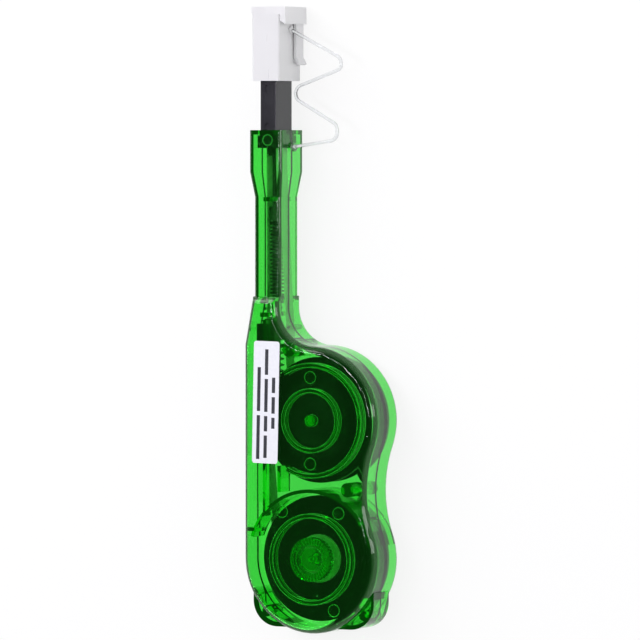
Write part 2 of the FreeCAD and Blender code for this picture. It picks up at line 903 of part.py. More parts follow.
def make_rear_cover(outside, shell):
    """Make the rear cover, with the reel axles, the drum wall, the sockets and the rod tongues."""
    half = box(
        "rear_half",
        "-2 * lobe_radius",
        "-3 * lobe_radius",
        "0",
        "4 * lobe_radius",
        "3 * lobe_radius + 2 * collar_end",
        "seam_height",
    )
    skin = common("rear_skin", shell, half)
    ribs = [
        tube(
            "rear_drum",
            "0",
            "supply_y",
            "wall / 2",
            "flange_radius + drum_gap + drum_rib",
            "flange_radius + drum_gap",
            "seam_height - wall / 2",
            "drum_start",
            "rear_drum_sweep",
        ),
        make_tongues("rear", "wall / 2", "middle_height - wall / 2"),
    ]
    for name, y in (("takeup_axle", "takeup_y"), ("supply_axle", "supply_y")):
        top = "gear_high + slide_gap" if "takeup" in name else "reel_top + flange_thickness"
        ribs.append(disc(name, "0", y, "wall / 2", "axle_radius", f"{top} - wall / 2"))
        seat_height = "reel_floor - seat_disc_gap - wall / 2"
        ribs.append(disc(name + "_seat", "0", y, "wall / 2", "2 * axle_radius", seat_height))
    for name, x, y in POSTS:
        low = post_inset(name)
        ribs.append(disc("rear_" + name, x, y, low, post_radius(name), f"seam_height - ({low})"))
    for name, x, y, radius in (
        ("guide_pin_root", "-guide_pin_x", "guide_pin_y", "guide_pin_radius"),
        ("roller_root", "-roller_x", "roller_y", "roller_pin_radius"),
    ):
        ribs.append(disc(name, x, y, "wall / 2", f"{radius} + pin_root", "reel_floor - wall / 2"))
    bored = [
        disc(
            "rear_" + name + "_socket",
            x,
            y,
            "seam_height - press_pin_reach - slide_gap",
            f"{pin_radius(name)} + press_gap",
            "press_pin_reach + wall",
        )
        for name, x, y in POSTS
    ]
    bored += [
        disc(
            "takeup_axle_bore",
            "0",
            "takeup_y",
            "gear_low",
            "stub_radius + press_gap",
            "case_depth - gear_low",
        ),
        disc(
            "supply_axle_bore",
            "0",
            "supply_y",
            "seam_height - press_pin_reach",
            "stub_radius + press_gap",
            "case_depth",
        ),
        disc(
            "guide_pin_bore",
            "-guide_pin_x",
            "guide_pin_y",
            "wall / 2",
            "guide_pin_radius + press_gap",
            "reel_floor",
        ),
        disc(
            "roller_pin_bore",
            "-roller_x",
            "roller_y",
            "wall / 2",
            "roller_pin_radius + press_gap",
            "reel_floor",
        ),
    ]
    solid = fuse("rear_ribbed", skin, common("rear_ribs", outside, fuse("rear_rib_set", *ribs)))
    return cut("rear_cover", solid, fuse("rear_bores", *bored))


def make_crown():
    """Make the ring of fine crown teeth that the supply reel's detent clicks along."""
    body = new_body("crown_ring")
    profile = rectangle("crown_inner", "crown_outer", "crown_low", "case_depth - wall / 2")
    revolve(body, polygon(body, "crown_profile", "y", profile))
    document.recompute()
    slot = rectangle("crown_inner - rib", "crown_outer + rib", "-crown_slot / 2", "crown_slot / 2")
    outline = polygon(body, "crown_slot_outline", "z", slot, "crown_low")
    cutter = pocket(body, outline, "z", "crown_slot_depth")
    polar(body, cutter, "crown_teeth")
    place(body, "0", "supply_y", "0")
    return body


def make_front_cover(outside, shell):
    """Make the front cover, with its rib rings, crown, guide rail, press pins and rod tongues."""
    half = box(
        "front_half",
        "-2 * lobe_radius",
        "-3 * lobe_radius",
        "seam_height",
        "4 * lobe_radius",
        "3 * lobe_radius + 2 * collar_end",
        "case_depth",
    )
    skin = common("front_skin", shell, half)
    inner = "case_depth - wall / 2"
    ribs = [
        tube(
            "front_drum",
            "0",
            "supply_y",
            "seam_height",
            "flange_radius + drum_gap + drum_rib",
            "flange_radius + drum_gap",
            f"{inner} - seam_height",
            "drum_start",
            "front_drum_sweep",
        ),
        tube(
            "gear_fence",
            "0",
            "takeup_y",
            "fence_low",
            "fence_radius + rib",
            "fence_radius",
            f"{inner} - fence_low",
            "fence_start",
            "fence_sweep",
        ),
        tube(
            "gear_ring",
            "0",
            "takeup_y",
            "ring_low",
            "ring_radius + rib",
            "ring_radius",
            f"{inner} - ring_low",
        ),
        tube(
            "plate_ring",
            "0",
            "supply_y",
            "plate_ring_low",
            "plate_ring_radius + rib",
            "plate_ring_radius",
            f"{inner} - plate_ring_low",
        ),
        make_crown(),
        disc("supply_boss", "0", "supply_y", "boss_low", "boss_radius", f"{inner} - boss_low"),
        disc(
            "supply_stub",
            "0",
            "supply_y",
            "seam_height - stub_reach",
            "stub_radius",
            f"{inner} - seam_height + stub_reach",
        ),
        disc(
            "takeup_boss",
            "0",
            "takeup_y",
            "gear_high + 2 * slide_gap",
            "axle_radius + axle_gap",
            f"{inner} - gear_high - 2 * slide_gap",
        ),
        disc(
            "takeup_stub",
            "0",
            "takeup_y",
            "gear_low + flange_thickness",
            "stub_radius",
            f"{inner} - gear_low - flange_thickness",
        ),
        box(
            "guide_rail",
            "neck_x - guide_rib_width / 2",
            "rack_bottom - stroke - rail_reach",
            "rack_high - guide_groove_depth + slide_gap",
            "guide_rib_width",
            "rack_top - rack_bottom + stroke + rail_reach + tongue_thickness",
            f"{inner} - rack_high + guide_groove_depth - slide_gap",
        ),
        box(
            "runner_ledge",
            "-lobe_radius + wall / 2",
            "rack_bottom - stroke - ledge_end",
            "rack_low - slide_gap - ledge_thickness",
            "lobe_radius - wall / 2 - flange_radius - slide_gap",
            "slant_start - rack_bottom + stroke",
            "ledge_thickness",
        ),
        box(
            "rack_stop_wall",
            "rack_pitch_x + gear_module + stop_wall_gap",
            "takeup_y - fence_radius - stop_wall_set",
            "rack_low",
            "rib",
            "stop_wall_length",
            f"{inner} - rack_low",
        ),
        box(
            "left_clip",
            "-lobe_radius + wall / 2",
            "slant_start + clip_rise",
            "seam_height + clip_lift",
            "wall + ledge_thickness",
            "rib",
            f"{inner} - seam_height - clip_lift",
        ),
        box(
            "left_link",
            "-lobe_radius + wall / 2",
            "supply_y + left_link_rise",
            "seam_height",
            "wall + link_width",
            "rib",
            f"{inner} - seam_height",
        ),
        box(
            "right_link",
            "flange_radius - right_link_set",
            "supply_y + right_link_rise",
            "seam_height",
            "link_length",
            "rib",
            f"{inner} - seam_height",
        ),
        make_tongues("front", "middle_height", "middle_height - wall / 2"),
    ]
    for name, y, orbit, turns in (
        ("gear_pad", "takeup_y", "pad_orbit", (90, 270)),
        ("plate_pad", "supply_y", "edge_pad_orbit", (56, 124, 298)),
    ):
        for number, turn in enumerate(turns):
            ribs.append(
                disc(
                    f"{name}_{number}",
                    f"{orbit} * cos({turn})",
                    f"{y} + {orbit} * sin({turn})",
                    "front_inner - pad_height",
                    "pad_radius",
                    "pad_height + wall / 2",
                )
            )
    for name, x, y in POSTS:
        low = post_inset(name)
        height = f"case_depth - ({low}) - seam_height"
        ribs.append(disc("front_" + name, x, y, "seam_height", post_radius(name), height))
        pin_low = "seam_height - press_pin_reach"
        ribs.append(disc(f"front_{name}_pin", x, y, pin_low, pin_radius(name), "press_pin_reach + rib"))
    for number, turn in enumerate((0, 90, 180, 270)):
        fin = box(
            f"upper_post_fin_{number}",
            f"-upper_post_x - rib / 4 + cos({turn}) * post_radius",
            f"upper_post_y - rib / 4 + sin({turn}) * post_radius",
            "seam_height",
            f"rib / 2 + abs(cos({turn}))",
            f"rib / 2 + abs(sin({turn}))",
            f"{inner} - seam_height",
        )
        ribs.append(fin)
    inside = common("front_ribs", fuse("front_rib_set", *ribs), outside)
    pins = [item for item in ribs if item.Name.endswith(("_pin", "_stub"))]
    return fuse("front_cover", skin, inside, *pins)


# The two reels, with the tape wound on each.


def make_reel(name, y):
    """Make the lower half of a reel, the hub and its rear flange, as one turned piece."""
    body = new_body(name)
    profile = [
        ("axle_radius + axle_gap", "reel_floor"),
        ("flange_radius", "reel_floor"),
        ("flange_radius", "reel_floor + flange_thickness"),
        ("hub_radius", "reel_floor + flange_thickness"),
        ("hub_radius", "upper_flange_low"),
        ("axle_radius + axle_gap", "upper_flange_low"),
    ]
    revolve(body, polygon(body, name + "_profile", "y", profile))
    return place(body, "0", y, "0")


def make_flange(name, y):
    """Make the front flange of a reel."""
    body = new_body(name)
    profile = rectangle("axle_radius + axle_gap", "flange_radius", "upper_flange_low", "reel_top")
    revolve(body, polygon(body, name + "_profile", "y", profile))
    return place(body, "0", y, "0")


# The part of a ratchet tooth's pitch that its notch takes.
NOTCH_SHARE = 0.96


def make_takeup_flange():
    """Make the take-up reel's front flange, which carries the ratchet wheel that the gear drives."""
    body = make_flange("takeup_flange", "takeup_y")
    wheel = circle(body, "ratchet_outline", "z", "0", "0", "ratchet_radius", "reel_top")
    pad(body, wheel, "z", "ratchet_height")
    tooth_rise = "ratchet_radius * sin(360 / ratchet_teeth)"
    notch = [
        ("ratchet_radius - ratchet_depth", "0"),
        ("ratchet_radius + ratchet_depth", "0"),
        ("ratchet_radius + ratchet_depth", f"{NOTCH_SHARE} * {tooth_rise}"),
        ("ratchet_radius * cos(360 / ratchet_teeth)", f"{NOTCH_SHARE} * {tooth_rise}"),
    ]
    cutter = pocket(body, polygon(body, "ratchet_notch", "z", notch, "reel_top"), "z", "ratchet_height")
    polar(body, cutter, "ratchet_teeth")
    bore = circle(body, "takeup_flange_bore", "z", "0", "0", "axle_radius + axle_gap", "reel_top")
    pocket(body, bore, "z", "ratchet_height")
    return body


def make_wound_tape(name, y, radius):
    """Make the closed ring of tape wound on a reel."""
    body = new_body(name)
    profile = rectangle(
        "hub_radius",
        radius,
        "reel_floor + flange_thickness + tape_gap",
        "upper_flange_low - tape_gap",
    )
    revolve(body, polygon(body, name + "_profile", "y", profile))
    return place(body, "0", y, "0")


def make_supply_detent():
    """Make the sprung disc on the supply reel, whose two fingers click along the crown teeth."""
    plate = tube(
        "detent_plate",
        "0",
        "supply_y",
        "reel_top",
        "crown_outer + detent_rim",
        "axle_radius + axle_gap + slide_gap",
        "flange_thickness",
    )
    fingers = []
    for side, sign in (("right", "1"), ("left", "-1")):
        fingers.append(
            box(
                f"detent_finger_{side}",
                f"{sign} * (crown_inner + crown_outer) / 2 - finger_width / 2",
                "supply_y - finger_length / 2",
                "reel_top",
                "finger_width",
                "finger_length",
                "crown_low - pawl_gap - reel_top",
            )
        )
    return fuse("supply_detent", plate, *fingers)


# The drive: a rack on the push rod, the gear that it turns and the one-way pawls inside the gear.


def tooth_gap(mid, half_low, half_high, low, high):
    """Give the corners of a tooth gap that is narrow at its root and wide at its mouth."""
    return [
        (low, f"{mid} - {half_low}"),
        (low, f"{mid} + {half_low}"),
        (high, f"{mid} + {half_high}"),
        (high, f"{mid} - {half_high}"),
    ]


# Half the width of a tooth gap at the pitch line, how fast its straight flanks open, how deep its
# root lies below the pitch line and how far past it the cut reaches.
GAP_HALF = "(tooth_pitch / 4 + tooth_backlash / 2)"
FLANK = "tan(20)"
ROOT_DEPTH = "1.25 * gear_module"
CUT_REACH = "1.5 * gear_module"


def make_drive_gear():
    """Make the spur gear as a cup whose teeth are cut one gap at a time round the rim."""
    body = new_body("drive_gear")
    rim = [
        ("axle_radius + axle_gap", "gear_high - gear_web"),
        ("gear_recess_radius", "gear_high - gear_web"),
        ("gear_recess_radius", "gear_low"),
        ("pitch_radius + gear_module", "gear_low"),
        ("pitch_radius + gear_module", "gear_high"),
        ("axle_radius + axle_gap", "gear_high"),
    ]
    revolve(body, polygon(body, "gear_profile", "y", rim))
    root = f"-pitch_radius + {ROOT_DEPTH}"
    mouth = f"-pitch_radius - {CUT_REACH}"
    gap = tooth_gap(
        "0",
        f"({GAP_HALF} - {ROOT_DEPTH} * {FLANK})",
        f"({GAP_HALF} + {CUT_REACH} * {FLANK})",
        root,
        mouth,
    )
    cutter = pocket(body, polygon(body, "gear_gap", "z", gap, "gear_low"), "z", "gear_height")
    polar(body, cutter, "gear_teeth")
    return place(body, "0", "takeup_y", "0")


def make_rack_slider():
    """Make the rack slider: a toothed bar with a guide groove, a side runner and a foot notch."""
    tip = "rack_pitch_x + gear_module"
    root = f"rack_pitch_x - {ROOT_DEPTH}"
    body = block(
        "rack_slider",
        "z",
        rectangle("-rack_left", tip, "rack_bottom", "rack_top"),
        "rack_low",
        "rack_height",
    )
    runner_end = "slant_start - runner_short"
    runner = rectangle("-runner_reach", "-rack_left + runner_gap", "rack_bottom", runner_end)
    pad(body, polygon(body, "runner", "z", runner, "rack_low"), "z", "runner_thickness")
    groove = rectangle(
        "neck_x - guide_rib_width / 2 - slide_gap",
        "neck_x + guide_rib_width / 2 + slide_gap",
        "rack_bottom - runner_thickness",
        "rack_top + runner_thickness",
    )
    cut_height = "rack_high - guide_groove_depth"
    pocket(body, polygon(body, "groove", "z", groove, cut_height), "z", "guide_groove_depth")
    above = "takeup_y + (rack_teeth - rack_lead) * tooth_pitch"
    flat_top = rectangle(root, f"{tip} + gear_module", above, "rack_top + gear_module")
    pocket(body, polygon(body, "rack_top_relief", "z", flat_top, "rack_low"), "z", "rack_height")
    first_gap = "takeup_y - rack_lead * tooth_pitch"
    gap = tooth_gap(
        f"({first_gap})",
        f"({GAP_HALF} - {ROOT_DEPTH} * {FLANK})",
        f"({GAP_HALF} + {CUT_REACH} * {FLANK})",
        root,
        f"rack_pitch_x + {CUT_REACH}",
    )
    cutter = pocket(body, polygon(body, "rack_gap", "z", gap, "rack_low"), "z", "rack_height")
    pattern = body.newObject("PartDesign::LinearPattern", "rack_gaps")
    pattern.Originals = [cutter]
    pattern.Direction = (next(item for item in body.Origin.OriginFeatures if item.Role == "Y_Axis"), [""])
    bind(pattern, Length="(rack_teeth - 1) * tooth_pitch", Occurrences="rack_teeth")
    body.Tip = pattern
    return body


def make_ratchet_pawls():
    """Make the pawl ring in the gear's recess, with two sprung pawls that drive the ratchet wheel."""
    height = "ratchet_height - pawl_gap"
    ring = tube(
        "pawl_ring",
        "0",
        "takeup_y",
        "reel_top + pawl_gap",
        "gear_recess_radius - press_gap",
        "gear_recess_radius - rib",
        height,
    )
    pawls = []
    for number, turn in enumerate((0, 180)):
        body = new_body(f"pawl_{number}")
        corners = [
            ("gear_recess_radius - rib / 2", "-2 * pawl_width"),
            ("gear_recess_radius - rib / 2", "-pawl_width"),
            ("ratchet_radius + pawl_gap + pawl_slope", "pawl_width + pawl_gap"),
            ("ratchet_radius + pawl_gap", "pawl_slope + pawl_tip"),
            ("ratchet_radius + pawl_gap", "pawl_slope"),
        ]
        pad(body, polygon(body, f"pawl_{number}_outline", "z", corners, "reel_top + pawl_gap"), "z", height)
        bind(body, Placement__Rotation__Angle=str(turn))
        pawls.append(place(body, "0", "takeup_y", "0"))
    return fuse("ratchet_pawls", ring, *pawls)


# The push rod, its return spring and its seat.


def make_push_rod():
    """Make the steel rod from the head carrier down to the rack slider."""
    return bar("push_rod", "y", "neck_x", "rack_top", "rod_height", "rod_radius", "carrier_low - rack_top")


def make_rod_block():
    """Make the green end block that ties the rod to the rack slider."""
    return box(
        "rod_block",
        "neck_x - tongue_half_width",
        "rack_top",
        "rod_height + rod_radius",
        "2 * tongue_half_width",
        "block_length",
        "rack_high - guide_groove_depth - rod_height - rod_radius",
    )


def make_spring_seat():
    """Make the sleeve on the rod that the return spring pushes against."""
    sleeve = bar("seat_sleeve", "y", "neck_x", "spring_head", "rod_height", "seat_radius", "seat_length")
    bore = bar(
        "seat_bore",
        "y",
        "neck_x",
        "spring_head - seat_length / 2",
        "rod_height",
        "rod_radius + press_gap",
        "2 * seat_length",
    )
    return cut("spring_seat", sleeve, bore)


def coil(name, radius, wire, turns, foot, head):
    """Make a compression spring along Y, from a square wire with its corners on the round one.

    Args:
        name: The feature's name.
        radius: The mean radius of the coil.
        wire: The diameter of the wire.
        turns: The number of turns.
        foot: Where the first turn's wire ends against its seat.
        head: Where the last turn's wire ends against its seat.

    Returns:
        A feature with the coil as its shape.
    """
    sides = int(value("coil_sides"))
    steps = int(turns) * sides
    low, high = foot + wire / 2, head - wire / 2
    up = FreeCAD.Vector(0, wire / 2, 0)
    rings = []
    for step in range(steps + 1):
        turn = 2 * math.pi * step / sides
        outward = FreeCAD.Vector(math.cos(turn), 0, math.sin(turn))
        middle = FreeCAD.Vector(value("neck_x"), low + (high - low) * step / steps, value("rod_height"))
        middle += outward * radius
        out = outward * (wire / 2)
        rings.append([middle + out, middle + up, middle - out, middle - up])
    return flat_faced(name, rings)


def make_return_spring():
    """Make the long return spring round the push rod."""
    return coil(
        "return_spring",
        value("spring_radius"),
        value("spring_wire"),
        value("spring_coils"),
        value("spring_foot"),
        value("spring_head"),
    )


# The nose: a black sleeve with a stop flange, pinned to the head carrier.


def make_guide_nose():
    """Make the square sleeve of the nose, with its stop flange and its through bore."""

    def section(width, depth):
        return rectangle(
            f"neck_x - {width} / 2",
            f"neck_x + {width} / 2",
            f"middle_height - {depth} / 2",
            f"middle_height + {depth} / 2",
        )

    outline = section("nose_width", "nose_depth")
    body = block("guide_nose", "y", outline, "flange_low", "nose_end - flange_low")
    round_edges(body, "nose_round", runs_along("y"))
    flange = polygon(body, "nose_flange", "y", section("flange_width", "nose_depth"), "flange_low")
    pad(body, flange, "y", "flange_high - flange_low")
    bore = polygon(body, "nose_bore", "y", section("nose_bore_width", "nose_bore_depth"), "flange_low")
    pocket(body, bore, "y", "nose_end - flange_low")
    for name, y in (("low_pin_hole", "nose_pin_low"), ("high_pin_hole", "nose_pin_high")):
        hole = circle(body, name, "z", "neck_x", y, "nose_pin_radius + press_gap", "middle_height")
        pocket(body, hole, "z", "nose_depth")
    return body


def make_nose_pins():
    """Make the two round pins that hold the head carrier in the nose."""
    low = "middle_height + carrier_width / 2"
    height = "(nose_depth - carrier_width) / 2 - nose_pin_sink"
    pins = [
        disc("nose_pin_" + end, "neck_x", "nose_pin_" + end, low, "nose_pin_radius", height)
        for end in ("low", "high")
    ]
    return fuse("nose_pins", *pins)


def make_head_carrier():
    """Make the flat blade that carries the cleaning head up through the nose."""
    side = rectangle(
        "neck_x - carrier_thickness / 2",
        "neck_x + carrier_thickness / 2",
        "carrier_low",
        "carrier_high",
    )
    body = block("head_carrier", "z", side, "middle_height - carrier_width / 2", "carrier_width")
    stem = circle(body, "head_stem", "y", "neck_x", "middle_height", "head_stem_radius", "carrier_high")
    pad(body, stem, "y", "head_low - carrier_high + head_travel")
    return body


def make_cleaning_head():
    """Make the cleaning head, a blade as wide as the tape with a thin rounded tip."""
    corners = [
        ("neck_x - head_thickness / 2", "head_low"),
        ("neck_x + head_thickness / 2", "head_low"),
        ("neck_x + head_thickness / 2", "head_shoulder"),
        ("neck_x + head_tip_thickness / 2", "head_shoulder + head_slope"),
        ("neck_x + head_tip_thickness / 2", "head_tip"),
        ("neck_x - head_tip_thickness / 2", "head_tip"),
        ("neck_x - head_tip_thickness / 2", "head_shoulder + head_slope"),
        ("neck_x - head_thickness / 2", "head_shoulder"),
    ]
    body = block("cleaning_head", "z", corners, "middle_height - tape_width / 2", "tape_width")
    bore = circle(
        body,
        "head_bore",
        "y",
        "neck_x",
        "middle_height",
        "head_stem_radius + slide_gap / 2",
        "head_low",
    )
    pocket(body, bore, "y", "2 * head_travel + head_slope")
    return body


def make_head_spring():
    """Make the small spring that holds the cleaning head forward."""
    return coil(
        "head_spring",
        value("head_spring_radius"),
        value("head_spring_wire"),
        value("head_spring_coils"),
        value("carrier_high"),
        value("head_low"),
    )


# The tape's run between the reels, and what guides it.


def make_guide_pin():
    """Make the steel pin that turns the supply strand into the neck."""
    return disc(
        "tape_guide_pin",
        "-guide_pin_x",
        "guide_pin_y",
        "wall / 2",
        "guide_pin_radius",
        "rack_low - slide_gap - wall / 2",
    )


def make_roller_pin():
    """Make the steel pin that the return roller turns on."""
    return disc(
        "roller_pin",
        "-roller_x",
        "roller_y",
        "wall / 2",
        "roller_pin_radius",
        "rack_low - 2 * slide_gap - wall / 2",
    )


def make_tape_roller():
    """Make the roller that turns the used tape out of the neck."""
    return tube(
        "tape_roller",
        "-roller_x",
        "roller_y",
        "reel_floor + seat_disc_gap",
        "roller_radius",
        "roller_pin_radius + axle_gap",
        "rack_low - 3 * slide_gap - reel_floor - seat_disc_gap",
    )


def tangent_touch(x, y, radius, from_x, from_y, side):
    """Find where a straight strand from a point touches a circle, on its left or right."""
    reach = math.hypot(from_x - x, from_y - y)
    towards = math.atan2(from_y - y, from_x - x)
    turn = towards + side * math.acos(radius / reach)
    return x + radius * math.cos(turn), y + radius * math.sin(turn)


# How far a mitre may stretch the strand's thickness at a sharp corner, as a share turned over.
MITRE_LEAST = 0.5


def make_tape_run():
    """Make the strand of tape from the supply reel over the cleaning head to the take-up reel."""
    skin = value("tape_thickness")
    off = value("tape_clearance") + skin / 2
    reel_z = (value("reel_floor") + value("reel_top")) / 2
    head_z = value("middle_height")
    axis = value("neck_x")
    pin = (-value("guide_pin_x"), value("guide_pin_y"))
    roller = (-value("roller_x"), value("roller_y"))
    pin_x = pin[0] + value("guide_pin_radius") + off
    roller_x = roller[0] - value("roller_radius") - off
    beside = -value("flange_radius") - value("strand_room")
    in_bore = value("nose_bore_width") / 2 - value("strand_margin")
    in_collar = value("flange_low") - value("strand_entry")
    bend_y = value("head_low") - value("strand_step")
    slope_y = value("head_shoulder") + value("head_slope")
    at_head = value("head_thickness") / 2 + off
    at_tip = value("head_tip_thickness") / 2 + off
    leave_r = value("supply_pack_radius") + off
    join_r = value("takeup_pack_radius") + off
    leave = tangent_touch(0, value("supply_y"), leave_r, beside, value("takeup_y"), 1)
    join = tangent_touch(0, value("takeup_y"), join_r, roller_x, roller[1], 1)
    neck_z = reel_z + value("strand_share") * (head_z - reel_z)
    entry_y = value("block_end") - value("wall") - value("slide_gap")
    entry_share = (entry_y - roller[1]) / (in_collar - roller[1])
    entry_x = roller_x + entry_share * (axis + in_bore - roller_x)
    route = [
        (leave[0], leave[1], reel_z),
        (beside, value("takeup_y"), reel_z),
        (pin_x, pin[1], neck_z),
        (axis - in_bore, in_collar, head_z),
        (axis - in_bore, bend_y, head_z),
        (axis - at_head, value("head_low"), head_z),
        (axis - at_head, value("head_shoulder"), head_z),
        (axis - at_tip, slope_y, head_z),
        (axis - at_tip, value("head_tip") + off, head_z),
        (axis + at_tip, value("head_tip") + off, head_z),
        (axis + at_tip, slope_y, head_z),
        (axis + at_head, value("head_shoulder"), head_z),
        (axis + at_head, value("head_low"), head_z),
        (axis + in_bore, bend_y, head_z),
        (axis + in_bore, in_collar, head_z),
        (entry_x, entry_y, neck_z),
        (roller_x, roller[1], reel_z),
        (join[0], join[1], reel_z),
    ]
    half = value("tape_width") / 2 - value("tape_gap")
    edges = [FreeCAD.Vector(x, y, 0) for x, y, _ in route]
    normals = []
    for index, corner in enumerate(edges):
        run_in = (corner - edges[index - 1] if index else edges[1] - corner).normalize()
        run_out = (edges[index + 1] - corner).normalize() if index + 1 < len(edges) else run_in
        bisector = (run_in + run_out).normalize()
        mitre = max(bisector.dot(run_out), MITRE_LEAST)
        normals.append(FreeCAD.Vector(-bisector.y, bisector.x, 0) * (skin / 2 / mitre))
    rings = []
    for (x, y, z), normal in zip(route, normals):
        centre = FreeCAD.Vector(x, y, z)
        up = FreeCAD.Vector(0, 0, half)
        rings.append([centre + normal - up, centre + normal + up, centre - normal + up, centre - normal - up])
    return flat_faced("tape_run", rings)


# The guide cap, its lid and the strap that keeps it with the pen.


def make_guide_cap():
    """Make the guide cap: a sleeve over the nose, a ledge, and a socket for a connector."""

    def section(width, depth):
        return rectangle(
            f"neck_x - {width} / 2",
            f"neck_x + {width} / 2",
            f"middle_height - {depth} / 2",
            f"middle_height + {depth} / 2",
        )

    body = block("guide_cap", "y", section("cap_width", "cap_depth"), "cap_low", "cap_high - cap_low")
    round_edges(body, "cap_round", runs_along("y"))
    fit = section("(nose_width + 2 * cap_gap)", "(nose_depth + 2 * cap_gap)")
    above = "cap_ledge_low + cap_ledge_thickness"
    pocket(body, polygon(body, "nose_socket", "y", fit, "cap_low"), "y", "cap_ledge_low - cap_low")
    pocket(body, polygon(body, "connector_socket", "y", fit, above), "y", f"cap_high - {above}")
    ledge = section("cap_ledge_width", "cap_ledge_depth")
    pocket(body, polygon(body, "ledge_hole", "y", ledge, "cap_ledge_low"), "y", "cap_ledge_thickness")
    return body


def make_cap_lid():
    """Make the flip lid with its plug, its side skirt and the sprung lever that opens it."""
    plate = rectangle("cap_left", "cap_right + lid_overhang", "cap_high", "lid_high")
    depth_low = "middle_height - cap_depth / 2"
    body = block("cap_lid", "z", plate, depth_low, "cap_depth")
    upright = runs_along("z")
    middle_x, middle_y = value("neck_x"), (value("cap_high") + value("lid_high")) / 2

    def turns_on_the_cap(edge):
        return upright(edge) and edge.BoundBox.XMax < middle_x and edge.BoundBox.YMax < middle_y

    round_edges(body, "lid_pivot", turns_on_the_cap)
    skirt = [
        ("cap_right + lid_gap", "cap_high - lid_skirt + lid_skirt_slope"),
        ("cap_right + lid_overhang", "cap_high - lid_skirt"),
        ("cap_right + lid_overhang", "cap_high + lid_gap"),
        ("cap_right + lid_gap", "cap_high + lid_gap"),
    ]
    pad(body, polygon(body, "lid_skirt", "z", skirt, depth_low), "z", "cap_depth")
    lever = [
        ("lever_left", "cap_high"),
        ("lever_left", "lever_low + lever_slope"),
        ("lever_left + lever_flare", "lever_low"),
        ("lever_right + lever_flare", "lever_low + lever_heel"),
        ("lever_right", "lever_low + lever_slope + lever_heel"),
        ("lever_right", "cap_high"),
    ]
    outline = polygon(body, "lid_lever", "z", lever, f"{depth_low} + lever_inset")
    pad(body, outline, "z", "lever_depth")
    plug = rectangle(
        "neck_x - nose_width / 2 - cap_gap + lid_gap",
        "neck_x + nose_width / 2 + cap_gap - lid_gap",
        "cap_high - lid_plug",
        "cap_high",
    )
    plug_low = "middle_height - nose_depth / 2 - cap_gap + lid_gap"
    sketch = polygon(body, "lid_plug", "z", plug, plug_low)
    pad(body, sketch, "z", "nose_depth + 2 * cap_gap - 2 * lid_gap")
    return body


# The strap's bends beside the nose: how far right of the neck axis, how far above the nose's end, and
# the bend's radius.
STRAP_BENDS = (
    (26.9, 2.6, 3.4),
    (26.6, -1.1, 2.2),
    (3.6, -9.4, 3.2),
    (24.9, -21.4, 3.0),
    (25.2, -26.8, 3.0),
)


def rounded_path(points, radii):
    """Join points by straight runs, with three short runs round each inner one.

    Args:
        points: The path's points, ends included.
        radii: One bend radius for each inner point.

    Returns:
        The points of the whole path.
    """
    path = [points[0]]
    for before, corner, after, radius in zip(points, points[1:], points[2:], radii):
        back = (before - corner).normalize()
        ahead = (after - corner).normalize()
        half = math.acos(max(-1.0, min(1.0, back.dot(ahead)))) / 2
        centre = corner + (back + ahead).normalize() * (radius / math.sin(half))
        first = corner + back * (radius / math.tan(half)) - centre
        sweep = math.copysign(math.pi - 2 * half, back.cross(ahead).z)
        for share in (0, 1 / 3, 2 / 3, 1):
            turn = FreeCAD.Rotation(FreeCAD.Vector(0, 0, 1), math.degrees(-sweep * share))
            following = centre + turn.multVec(first)
            if (following - path[-1]).Length > value("tether_radius"):
                path.append(following)
    path.append(points[-1])
    return path


def strap_rings(path, radius):
    """Give a six-cornered ring round each point of a path that lies flat."""
    rings = []
    for index, point in enumerate(path):
        before, after = path[max(index - 1, 0)], path[min(index + 1, len(path) - 1)]
        along = (after - before).normalize()
        side = along.cross(FreeCAD.Vector(0, 0, 1))
        turns = [corner * math.pi / 3 for corner in range(6)]
        up = FreeCAD.Vector(0, 0, radius)
        rings.append([point + side * (radius * math.cos(turn)) + up * math.sin(turn) for turn in turns])
    return rings


def make_cap_tether():
    """Make the clear zigzag strap from the guide cap to its button on the collar."""
    axis, height = value("neck_x"), value("tether_height")
    face, side = value("cap_right"), value("collar_right")
    start = FreeCAD.Vector(face + value("tether_start"), value("cap_high") - value("tether_drop"), height)
    end = FreeCAD.Vector(side + value("button_thickness") / 2, value("button_y"), height)
    bends = [FreeCAD.Vector(axis + x, value("nose_end") + y, height) for x, y, _ in STRAP_BENDS]
    path = rounded_path([start, *bends, end], [radius for _, _, radius in STRAP_BENDS])
    strap = flat_faced("strap", strap_rings(path, value("tether_radius")))
    anchor = box(
        "strap_anchor",
        "cap_right",
        "cap_high - tether_drop - anchor_half",
        "tether_height - anchor_half",
        "tether_pad",
        "2 * anchor_half",
        "2 * anchor_half",
    )
    button = bar(
        "strap_button", "x", "collar_right", "button_y", "tether_height", "button_radius", "button_thickness"
    )
    stem = bar(
        "strap_stem",
        "x",
        "collar_right - neck_wall",
        "button_y",
        "tether_height",
        "button_stem",
        "neck_wall + button_thickness / 2",
    )
    return fuse("cap_tether", strap, anchor, button, stem)


def make_label():
    """Make the white label on the front cover, turned a little off the pen's length."""
    corners = rectangle("-label_width / 2", "label_width / 2", "-label_length / 2", "label_length / 2")
    body = block("label", "z", corners, "0", "label_thickness")
    round_edges(body, "label_round", runs_along("z"))
    bind(body, Placement__Rotation__Angle="-label_tilt")
    return place(body, "label_x", "label_y", "case_depth")


